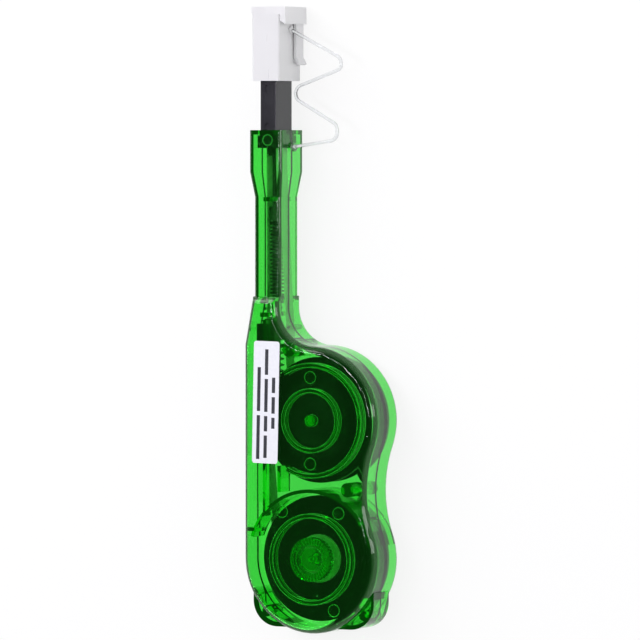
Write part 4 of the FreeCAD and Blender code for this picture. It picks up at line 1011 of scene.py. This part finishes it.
@dataclass
class CapStrap:
    """The clear moulded strap that folds in a zigzag between the collar and the guide cap.

    Attributes:
        radius_mm: Half the strap's width.
        neck_x: Where the neck's axis lies across the pen.
        height: Where the strap lies in Z.
        cap_start: Where it leaves the cap, across the pen and along it.
        collar_end: Where it ends at the collar, across the pen and along it.
        bends: Across from the neck's axis, along the pen, and the radius, for each bend.
        split: The bend, counted from 0, that the strap's two lengths meet at.
        turn_step: The turn between two points of a bend, in radians.
        sides: The sides of its round section.
        button: Distance from the foot and radius, for the button's outline.
        button_sides: The sides of the button.
        button_inset: How far the button's foot lies from the strap's end, towards the neck's axis.
        tab: Distance from the foot and radius, for the square tab's outline.
        tab_inset: How far the tab's foot lies from the strap's start, towards the neck's axis.
    """

    radius_mm: float = 0.62
    neck_x: float = -18.4
    height: float = 10.0
    cap_start: tuple[float, float] = (-12.25, 167.0)
    collar_end: tuple[float, float] = (-11.3, 124.4)
    bends: tuple[tuple[float, float, float], ...] = (
        (26.9, 156.4, 3.4),
        (26.6, 152.7, 2.2),
        (3.6, 144.4, 3.2),
        (24.9, 132.4, 3.0),
        (25.2, 127.0, 3.0),
    )
    split: int = 2
    turn_step: float = 0.12
    sides: int = 12
    button_sides: int = 32
    button_inset: float = 1.45
    tab_inset: float = 0.5
    button: tuple[tuple[float, float], ...] = (
        (0.0, 0.8),
        (0.75, 0.8),
        (0.85, 1.25),
        (1.2, 1.6),
        (1.75, 1.75),
        (2.3, 1.55),
        (2.65, 1.1),
        (2.8, 0.5),
    )
    tab: tuple[tuple[float, float], ...] = ((0.0, 1.5), (0.1, 1.7), (0.8, 1.7), (1.0, 1.4))

    def build(self, finishes: Palette) -> None:
        """Make the strap in two lengths that meet at the bend beside the nose.

        Args:
            finishes: The pen's finishes.
        """
        start = Vector((*self.cap_start, self.height))
        end = Vector((*self.collar_end, self.height))
        corners = [Vector((self.neck_x + x, y, self.height)) for x, y, _ in self.bends]
        radii = [radius for _, _, radius in self.bends]
        line = rounded_route([start, *corners, end], radii, self.turn_step)
        spaced = [line[0]]
        for point in line[1:-1]:
            if (point - spaced[-1]).length > self.radius_mm / 2:
                spaced.append(point)
        line = [*spaced, line[-1]]
        meet = min(range(len(line)), key=lambda index: (line[index] - corners[self.split]).length)
        parts = (("cap_strap_upper", line[: meet + 1]), ("cap_strap_lower", line[meet:]))
        for name, points in parts:
            made = bmesh.new()
            tube(made, points, self.radius_mm, self.sides)
            piece = new_piece(name, made, finishes.clear)
            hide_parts("cap_tether")
            if name == "cap_strap_upper":
                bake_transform(piece)
            else:
                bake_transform(piece)
            LOG.info("%s: %d points", name, len(points))
        self.ends(start, finishes)

    def ends(self, start: Vector, finishes: Palette) -> None:
        """Make the strap's two ends: the button in the collar's wall and the tab on the cap.

        Args:
            start: Where the strap leaves the cap.
            finishes: The pen's finishes.
        """
        made = bmesh.new()
        foot = Vector((self.collar_end[0] - self.button_inset, self.collar_end[1], self.height))
        lathe(made, foot, Vector((1, 0, 0)), list(self.button), self.button_sides)
        button = new_piece("strap_button", made, finishes.clear)
        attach(button, Body.CASE.value)
        made = bmesh.new()
        foot = Vector((start.x - self.tab_inset, start.y, self.height))
        lathe(made, foot, Vector((1, 0, 0)), list(self.tab), 4)
        tab = new_piece("strap_tab", made, finishes.milky, smooth=False)
        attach(tab, Body.CAP.value)
        for piece in (button, tab):
            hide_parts("cap_tether")
            LOG.info("%s: one end of the strap", piece.name)


@dataclass
class Studio:
    """The white table, its soft lamps and the camera.

    Attributes:
        tilt_deg: How far the camera is turned about the pen's length.
        distance_mm: How far the camera stands from its target.
        centre: What the camera and the lamps are turned to.
        eye_y: Where the camera stands along the pen.
        frame_mm: The width of the picture at the target.
        sensor_mm: The width of the camera's sensor.
        sight_mm: How near and how far the camera sees.
        table_mm: Half the length of the table top.
        table_drop_mm: How far the table top lies under the pen.
        table_share: How much of the table's glow shows in it; the rest shows the lamps' shadows.
        table_glow: The strength of that glow.
        table_matt: How much of the light its matt part gives back.
        fill_light: The strength of the room's light on the pen.
        backdrop_rise: How high in the room the white ends, as the upward share of a direction.
        ceiling_rise: How high the dark of the ceiling is reached.
        ceiling_light: The ceiling's strength there.
    """

    tilt_deg: float = 27.4
    distance_mm: float = 2000.0
    centre: tuple[float, float, float] = (-0.4, 61.5, 10.0)
    eye_y: float = 130.0
    frame_mm: float = 232.7
    sensor_mm: float = 36.0
    sight_mm: tuple[float, float] = (50.0, 20000.0)
    table_mm: float = 4000.0
    table_drop_mm: float = 0.05
    table_share: float = 0.8
    table_glow: float = 1.05
    table_matt: float = 0.82
    fill_light: float = 0.44
    backdrop_rise: float = 0.25
    ceiling_rise: float = 0.84
    ceiling_light: float = 0.04

    def table_top(self) -> bpy.types.Object:
        """Lay the white table top, which keeps a soft shadow of the pen.

        Returns:
            The table top.
        """
        made = bmesh.new()
        bmesh.ops.create_grid(made, x_segments=2, y_segments=2, size=self.table_mm)
        top = new_piece("table_top", made, self.table_finish(), smooth=False)
        top.location.z = -self.table_drop_mm * MM
        return top

    def table_finish(self) -> bpy.types.Material:
        """Build the table's finish: white to the camera, through the clear walls and in what mirrors
        it, and a plain pale matt to the light.

        Returns:
            The node material.
        """
        made = new_material("table_white")
        tree = made.node_tree
        path = add_node(tree, "ShaderNodeLightPath")
        seen = path.outputs["Is Camera Ray"]
        for kind in ("Is Transmission Ray", "Is Glossy Ray"):
            either = add_node(
                tree, "ShaderNodeMath", {"operation": "MAXIMUM"}, {0: seen, 1: path.outputs[kind]}
            )
            seen = either.outputs["Value"]
        share = add_node(
            tree, "ShaderNodeMath", {"operation": "MULTIPLY"}, {0: seen, 1: self.table_share}
        )
        pale = (self.table_matt, self.table_matt, self.table_matt, 1.0)
        matt = add_node(tree, "ShaderNodeBsdfDiffuse", inputs={"Color": pale})
        glow = add_node(
            tree, "ShaderNodeEmission", inputs={"Color": WHITE, "Strength": self.table_glow}
        )
        both = add_node(
            tree,
            "ShaderNodeMixShader",
            inputs={
                0: share.outputs["Value"],
                1: matt.outputs["BSDF"],
                2: glow.outputs["Emission"],
            },
        )
        add_node(tree, "ShaderNodeOutputMaterial", inputs={"Surface": both.outputs["Shader"]})
        return made

    def sky(self) -> None:
        """Fill the room with a soft light and a white backdrop. What mirrors the room, and what the
        clear walls bend, gets a ceiling that darkens overhead.
        """
        world = bpy.data.worlds.new("studio_room")
        bpy.context.scene.world = world
        world.use_nodes = True
        tree = world.node_tree
        tree.nodes.clear()
        path = add_node(tree, "ShaderNodeLightPath")
        towards = add_node(tree, "ShaderNodeTexCoord")
        height = add_node(
            tree, "ShaderNodeSeparateXYZ", inputs={"Vector": towards.outputs["Generated"]}
        )
        mirrored = add_node(
            tree,
            "ShaderNodeMapRange",
            inputs={
                "Value": height.outputs["Z"],
                "From Min": self.backdrop_rise,
                "From Max": self.ceiling_rise,
                "To Min": 1.0,
                "To Max": self.ceiling_light,
            },
        )
        fill, backdrop, ceiling = (
            add_node(tree, "ShaderNodeBackground", inputs={"Color": WHITE, "Strength": strength})
            for strength in (self.fill_light, 1.0, mirrored.outputs["Result"])
        )
        shown = add_node(
            tree,
            "ShaderNodeMixShader",
            inputs={
                0: path.outputs["Is Camera Ray"],
                1: fill.outputs["Background"],
                2: backdrop.outputs["Background"],
            },
        )
        bent = add_node(
            tree,
            "ShaderNodeMath",
            {"operation": "MAXIMUM"},
            {0: path.outputs["Is Glossy Ray"], 1: path.outputs["Is Transmission Ray"]},
        )
        both = add_node(
            tree,
            "ShaderNodeMixShader",
            inputs={
                0: bent.outputs["Value"],
                1: shown.outputs["Shader"],
                2: ceiling.outputs["Background"],
            },
        )
        add_node(tree, "ShaderNodeOutputWorld", inputs={"Surface": both.outputs["Shader"]})

    def lamp(
        self,
        name: str,
        place: Vector,
        size: tuple[float, float],
        power: float,
        along: Vector = Vector((0, 0, 1)),
    ) -> bpy.types.Light:
        """Hang one soft box, turned to the pen.

        Args:
            name: The lamp's name.
            place: Where it hangs, in millimetres.
            size: Its width and height in millimetres.
            power: Its power in watts.
            along: The direction that its height runs along, as near as its aim allows.

        Returns:
            The lamp's light.
        """
        light = bpy.data.lights.new(name, "AREA")
        light.shape = "RECTANGLE"
        light.size, light.size_y = size[0] * MM, size[1] * MM
        light.energy = power
        lamp = bpy.data.objects.new(name, light)
        bpy.context.scene.collection.objects.link(lamp)
        back = (place - Vector(self.centre)).normalized()
        right = along.cross(back).normalized()
        turn = Matrix((right, back.cross(right), back)).transposed().to_4x4()
        lamp.matrix_world = Matrix.Translation(place * MM) @ turn
        return light

    def camera(self) -> None:
        """Set the camera above the pen, near its collar and turned to its right side."""
        data = bpy.data.cameras.new("camera")
        camera = bpy.data.objects.new("camera", data)
        bpy.context.scene.collection.objects.link(camera)
        target = Vector(self.centre)
        tilt = math.radians(self.tilt_deg)
        rise = self.eye_y - target.y
        level = math.sqrt(self.distance_mm**2 - rise**2)
        away = Vector((math.sin(tilt) * level, rise, math.cos(tilt) * level))
        back = away.normalized()
        right = Vector((0, 1, 0)).cross(back).normalized()
        up = back.cross(right)
        camera.matrix_world = Matrix.Translation((target + away) * MM) @ Matrix(
            (right, up, back)
        ).transposed().to_4x4()
        data.sensor_width = self.sensor_mm
        data.lens = data.sensor_width * self.distance_mm / self.frame_mm
        data.clip_start, data.clip_end = (reach * MM for reach in self.sight_mm)
        bpy.context.scene.camera = camera

    def build(self) -> None:
        """Set up the table, the lamps, the room and the camera."""
        self.table_top()
        self.sky()
        self.lamp("key_softbox", Vector((-900, 900, 700)), size=(1000, 1000), power=12.0)
        self.lamp("side_softbox", Vector((900, 200, 500)), size=(250, 900), power=3.0)
        strip = self.lamp(
            "edge_strip",
            Vector((-220, 190, 805)),
            size=(60, 550),
            power=1.8,
            along=Vector((-387, 342, -189)),
        )
        strip.color = linear("#F4EEFF")[:3]
        self.camera()
        bpy.context.scene.view_settings.view_transform = "Standard"
        LOG.info("studio: camera turned %.1f degrees", self.tilt_deg)


@dataclass
class PrintedLabel:
    """The paper label on the front cover, with plain bars of the words' lengths in place of print.

    Attributes:
        tilt_deg: How far the label is turned from the pen's length.
        rule_width_mm: The width of a bar.
        word_gap_mm: The gap between two words.
        print_mm: How far the print lies over the paper.
        lines: Across from the label's middle, where each line starts along it, and its words' lengths.
    """

    tilt_deg: float = -1.2
    rule_width_mm: float = 1.35
    word_gap_mm: float = 1.5
    print_mm: float = 0.004
    lines: tuple[tuple[float, float, tuple[float, ...]], ...] = (
        (-2.9, -20.8, (16.0, 16.0)),
        (0.1, -20.3, (8.2, 5.6, 12.0, 9.3)),
        (3.1, -9.5, (4.0, 6.0, 5.6)),
    )

    def build(self, finishes: Palette) -> None:
        """Print the bars on the label.

        Args:
            finishes: The pen's finishes.
        """
        dress(finishes.paper, "label")
        centre = node_middle("label")
        turn = Matrix.Rotation(math.radians(self.tilt_deg), 3, "Z")
        made = bmesh.new()
        half = self.rule_width_mm / 2
        level = Vector((centre.x, centre.y, node_box("label")[1].z + self.print_mm))
        for across, start, words in self.lines:
            for word in words:
                end = start + word
                corners = (
                    (across - half, start),
                    (across + half, start),
                    (across + half, end),
                    (across - half, end),
                )
                places = [turn @ Vector((x, y, 0)) + level for x, y in corners]
                made.faces.new([made.verts.new(place) for place in places])
                start = end + self.word_gap_mm
        piece = new_piece("label_rules", made, finishes.ink, smooth=False)
        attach(piece, Body.CASE.value)
        LOG.info("label: %d lines of print", len(self.lines))


@dataclass(frozen=True)
class Bead:
    """One thin bead along the edge of a round rib.

    Attributes:
        radius_mm: The bead's radius round the reel's axle.
        z: Its height.
        start_deg: Where it begins.
        sweep_deg: How far it runs; 360 closes it.
    """

    radius_mm: float
    z: float
    start_deg: float = 0.0
    sweep_deg: float = 360.0


@dataclass
class RibEdgeHighlights:
    """Pale beads along the moulded rib rings under the front cover: painted highlights that stand in for
    the bright lines of light which the ribs' rounded edges show over the black reels.

    Attributes:
        bead_mm: The radius of a bead, which paints the highlight along a rib's rounded edge.
        bead_sides: The sides of a bead's section.
        least_steps: The fewest steps along a bead.
        step_turn: The turn of one step along a bead of 1 mm radius, in degrees.
        wall_mm: The front cover's wall.
        rib_mm: The thickness of a rib.
        fence: The inner radius and the depth of the open rib round the take-up reel.
        fence_start: Where that rib begins, in degrees.
        fence_sweep: How far it runs, in degrees.
        ring: The inner radius and the depth of the rib ring over the take-up reel.
        plate: The inner radius and the depth of the rib ring over the supply reel.
        crown: The inner radius, the outer radius and the depth of the toothed crown.
        supply_boss: The radius and the depth of the boss inside the crown.
        takeup_boss: The radius and the depth of the boss over the take-up reel.
        pad: The radius and the depth of a round pad.
        nose_ring: The radius of the boss on the nose and where it lies along the pen.
        upper_pads: How far each pad over the take-up reel lies from the axle, and its turn.
        lower_pads: How far each pad over the supply reel lies from the axle, and its turn.
    """

    bead_mm: float = 0.17
    bead_sides: int = 6
    least_steps: int = 12
    step_turn: float = 40.0
    wall_mm: float = 1.6
    rib_mm: float = 1.4
    fence: tuple[float, float] = (19.4, 3.8)
    fence_start: float = -118.0
    fence_sweep: float = 240.0
    ring: tuple[float, float] = (10.2, 2.5)
    plate: tuple[float, float] = (15.1, 3.6)
    crown: tuple[float, float, float] = (5.4, 8.0, 3.7)
    supply_boss: tuple[float, float] = (4.1, 2.2)
    takeup_boss: tuple[float, float] = (2.1, 2.4)
    pad: tuple[float, float] = (2.2, 0.5)
    nose_ring: tuple[float, float] = (1.95, 126.9)
    upper_pads: tuple[tuple[float, float], ...] = ((15.7, 90.0), (15.7, 270.0))
    lower_pads: tuple[tuple[float, float], ...] = ((20.6, 56.0), (20.6, 124.0), (20.6, 298.0))

    def rib(self, radius: float, depth: float, roof: float, **arc: float) -> list[Bead]:
        """Give the painted highlights along the four edges of one round rib: its two roots and its two
        free edges.
        """
        radii = (radius, radius + self.rib_mm)
        return [Bead(r, z, **arc) for r in radii for z in (roof - self.bead_mm, roof - depth)]

    def run(self, made: bmesh.types.BMesh, centre: Vector, beads: list[Bead]) -> None:
        """Add beads round a centre to a mesh.

        Args:
            made: The mesh that gets them.
            centre: What they run round.
            beads: The beads.
        """
        for bead in beads:
            joined = bead.sweep_deg >= 360
            count = max(self.least_steps, round(bead.radius_mm * bead.sweep_deg / self.step_turn))
            steps = count if joined else count + 1
            turns = [math.radians(bead.start_deg + bead.sweep_deg * n / count) for n in range(steps)]
            route = [
                Vector(
                    (
                        centre.x + bead.radius_mm * math.cos(turn),
                        centre.y + bead.radius_mm * math.sin(turn),
                        bead.z,
                    )
                )
                for turn in turns
            ]
            tube(made, route, self.bead_mm, self.bead_sides, joined)

    def build(self, finishes: Palette) -> None:
        """Make the painted highlights along the edges over the take-up reel, those over the supply reel
        and the one on the nose.

        Args:
            finishes: The pen's finishes.
        """
        roof = node_box("front_cover")[1].z - self.wall_mm
        for name, reel, ribs, pads in (
            (
                "upper_rib_painted_highlights",
                "takeup_reel",
                self.rib(*self.fence, roof, start_deg=self.fence_start, sweep_deg=self.fence_sweep)
                + self.rib(*self.ring, roof)
                + [Bead(self.takeup_boss[0], roof - self.takeup_boss[1])],
                self.upper_pads,
            ),
            (
                "lower_rib_painted_highlights",
                "supply_reel",
                self.rib(*self.plate, roof)
                + [Bead(self.supply_boss[0], roof - self.supply_boss[1])]
                + [Bead(radius, roof - self.crown[2]) for radius in self.crown[:2]],
                self.lower_pads,
            ),
        ):
            axle = node_middle(reel)
            made = bmesh.new()
            self.run(made, axle, ribs)
            for orbit, turn in pads:
                way = math.radians(turn)
                off = Vector((orbit * math.cos(way), orbit * math.sin(way), 0))
                self.run(made, axle + off, [Bead(self.pad[0], roof - self.pad[1])])
            piece = new_piece(name, made, finishes.edge)
            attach(piece, Body.CASE.value)
            LOG.info("%s: %d ribs' edges and %d pads", name, len(ribs), len(pads))
        self.nose_painted_highlight(finishes)

    def nose_painted_highlight(self, finishes: Palette) -> None:
        """Make the painted highlight along the rounded edge of the pin's boss on the nose, which shows
        through the collar.

        Args:
            finishes: The pen's finishes.
        """
        radius, y = self.nose_ring
        made = bmesh.new()
        centre = Vector((node_middle("guide_nose").x, y, 0))
        self.run(made, centre, [Bead(radius, node_box("guide_nose")[1].z)])
        # A pale bead on the black nose: a painted highlight round the boss's edge.
        piece = new_piece("nose_boss_painted_highlight", made, finishes.edge)
        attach(piece, Body.NOSE.value)
        LOG.info("nose_boss_painted_highlight: one bead")


@dataclass
class CleaningTape:
    """The tape between the reels: up the neck on one side, over the head's tip and down the other.

    Attributes:
        thickness_mm: The tape's thickness.
        gap_mm: How far it stands off what it turns on.
        width_mm: Its width.
        strand_off: How far each strand runs beside the nose's axis.
        entry: Where the used strand enters the neck along the pen, and both strands' Z there.
        collar_y: Where the strands turn parallel to the nose, along the pen.
        beside_x: Where the fresh strand passes the take-up reel, across the pen.
        foot_gap: How far below the head's foot the strands end and the loop begins.
        shoulder: Where the slope of the head's shoulder starts and ends, from its foot.
        tip_mm: Half the thickness of the head's tip.
        tip_radius: How far the tip's edge is rounded.
        length_mm: The length that a strand is cut into.
    """

    thickness_mm: float = 0.12
    gap_mm: float = 0.12
    width_mm: float = 6.2
    strand_off: float = 1.9
    entry: tuple[float, float] = (68.1, 7.48)
    collar_y: float = 119.2
    beside_x: float = -23.65
    foot_gap: float = 0.4
    shoulder: tuple[float, float] = (7.1, 7.7)
    tip_mm: float = 0.95
    tip_radius: float = 0.3
    length_mm: float = 3.0

    def tangent(self, centre: Vector, radius: float, start: Vector) -> Vector:
        """Find where a strand from a point meets a reel's winding on its left side.

        Args:
            centre: The reel's middle.
            radius: The winding's radius.
            start: Where the strand comes from.

        Returns:
            The point on the winding.
        """
        off = start - centre
        turn = math.atan2(off.y, off.x) + math.acos(radius / math.hypot(off.x, off.y))
        return Vector((centre.x + radius * math.cos(turn), centre.y + radius * math.sin(turn), centre.z))

    def strands(self) -> tuple[list[Vector], list[Vector]]:
        """Work out the two strands from the reels to the nose.

        Returns:
            The points of the fresh strand, upwards, and of the used one, downwards.
        """
        off = self.gap_mm + self.thickness_mm / 2
        axis = node_middle("guide_nose")
        supply, takeup = node_middle("supply_tape"), node_middle("takeup_tape")
        foot_y = node_box("cleaning_head")[0].y - self.foot_gap
        beside = Vector((self.beside_x, takeup.y, supply.z))
        leave = self.tangent(supply, half_width("supply_tape") + off, beside)
        roller_x = node_box("tape_roller")[0].x - off
        roller = Vector((roller_x, node_middle("tape_roller").y, supply.z))
        join = self.tangent(takeup, half_width("takeup_tape") + off, roller)
        pin_x = node_box("tape_guide_pin")[1].x + off
        entry_y, entry_z = self.entry
        left, right = axis.x - self.strand_off, axis.x + self.strand_off
        share = (entry_y - roller.y) / (self.collar_y - roller.y)
        fresh = [
            leave,
            beside,
            Vector((pin_x, node_middle("tape_guide_pin").y, entry_z)),
            Vector((left, self.collar_y, axis.z)),
            Vector((left, foot_y, axis.z)),
        ]
        used = [
            Vector((right, foot_y, axis.z)),
            Vector((right, self.collar_y, axis.z)),
            Vector((roller.x + share * (right - roller.x), entry_y, entry_z)),
            roller,
            join,
        ]
        return fresh, used

    def loop(self) -> list[Vector]:
        """Work out the tape's turn over the cleaning head.

        Returns:
            The points of the loop, from one side of the head to the other.
        """
        off = self.gap_mm + self.thickness_mm / 2
        low, high = node_box("cleaning_head")
        axis = node_middle("cleaning_head")
        shoulder, slope = (low.y + rise for rise in self.shoulder)
        wide, tip = half_width("cleaning_head") + off, self.tip_mm + off
        right = [
            Vector((axis.x + self.strand_off, low.y - self.foot_gap, axis.z)),
            Vector((axis.x + wide, low.y, axis.z)),
            Vector((axis.x + wide, shoulder, axis.z)),
            Vector((axis.x + tip, slope, axis.z)),
            Vector((axis.x + tip, high.y - self.tip_radius, axis.z)),
            Vector((axis.x + tip - self.tip_radius, high.y + off, axis.z)),
        ]
        left = [Vector((2 * axis.x - point.x, point.y, point.z)) for point in right]
        return left + right[::-1]

    def ribbon(self, route: list[Vector], made: bmesh.types.BMesh) -> None:
        """Add a thin upright ribbon along a route to a mesh, cut into short lengths.

        Args:
            route: The points of its middle line.
            made: The mesh that gets it.
        """
        points = [route[0]]
        for first, last in zip(route, route[1:]):
            count = max(1, round((last - first).length / self.length_mm))
            points += [first.lerp(last, n / count) for n in range(1, count + 1)]
        rings = []
        for index, point in enumerate(points):
            along = points[min(index + 1, len(points) - 1)] - points[max(index - 1, 0)]
            side = Vector((-along.y, along.x, 0)).normalized() * (self.thickness_mm / 2)
            up = Vector((0, 0, self.width_mm / 2))
            corners = (point + side - up, point + side + up, point - side + up, point - side - up)
            rings.append([made.verts.new(corner) for corner in corners])
        skin(made, rings)

    def build(self, finishes: Palette) -> None:
        """Make the strands from the reels to the nose, and the loop over the head.

        Args:
            finishes: The pen's finishes.
        """
        fresh, used = self.strands()
        made = bmesh.new()
        self.ribbon(fresh, made)
        self.ribbon(used, made)
        strands = new_piece("tape_strands", made, finishes.tape, smooth=False)
        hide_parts("tape_run")
        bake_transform(strands)
        made = bmesh.new()
        self.ribbon(self.loop(), made)
        loop = new_piece("tape_loop", made, finishes.tape, smooth=False)
        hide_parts("tape_run")
        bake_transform(loop)
        LOG.info("tape: two strands and the loop over the head")


@dataclass
class Mechanism:
    """The carried CAD nodes and their finishes, but for the label."""

    def build(self, finishes: Palette) -> None:
        """Dress every carried node.

        Args:
            finishes: The pen's finishes.
        """
        dress(finishes.case, "rear_cover", "front_cover")
        dress(finishes.black, "guide_nose", "nose_pins", "head_carrier", "push_rod", "spring_seat")
        dress(finishes.black, "rod_block", "rack_slider", "drive_gear")
        dress(finishes.reel, "takeup_reel", "takeup_flange", "supply_reel", "supply_flange")
        dress(finishes.clutch, "ratchet_pawls", "supply_detent", "tape_roller")
        dress(finishes.grey, "cleaning_head")
        dress(finishes.pin, "tape_guide_pin", "roller_pin")
        dress(finishes.tape, "takeup_tape", "supply_tape")
        dress(finishes.milky, "guide_cap", "cap_lid")
        LOG.info("mechanism: every carried node but the label dressed")


def main() -> None:
    """Build the pen's finishes and pieces and the studio round it."""
    logging.basicConfig(level=logging.INFO)
    finishes = Palette.mix()
    Mechanism().build(finishes)
    SpringPack().build(finishes)
    CleaningTape().build(finishes)
    RibEdgeHighlights().build(finishes)
    CapStrap().build(finishes)
    PrintedLabel().build(finishes)
    Studio().build()


if __name__ == "__main__":
    main()
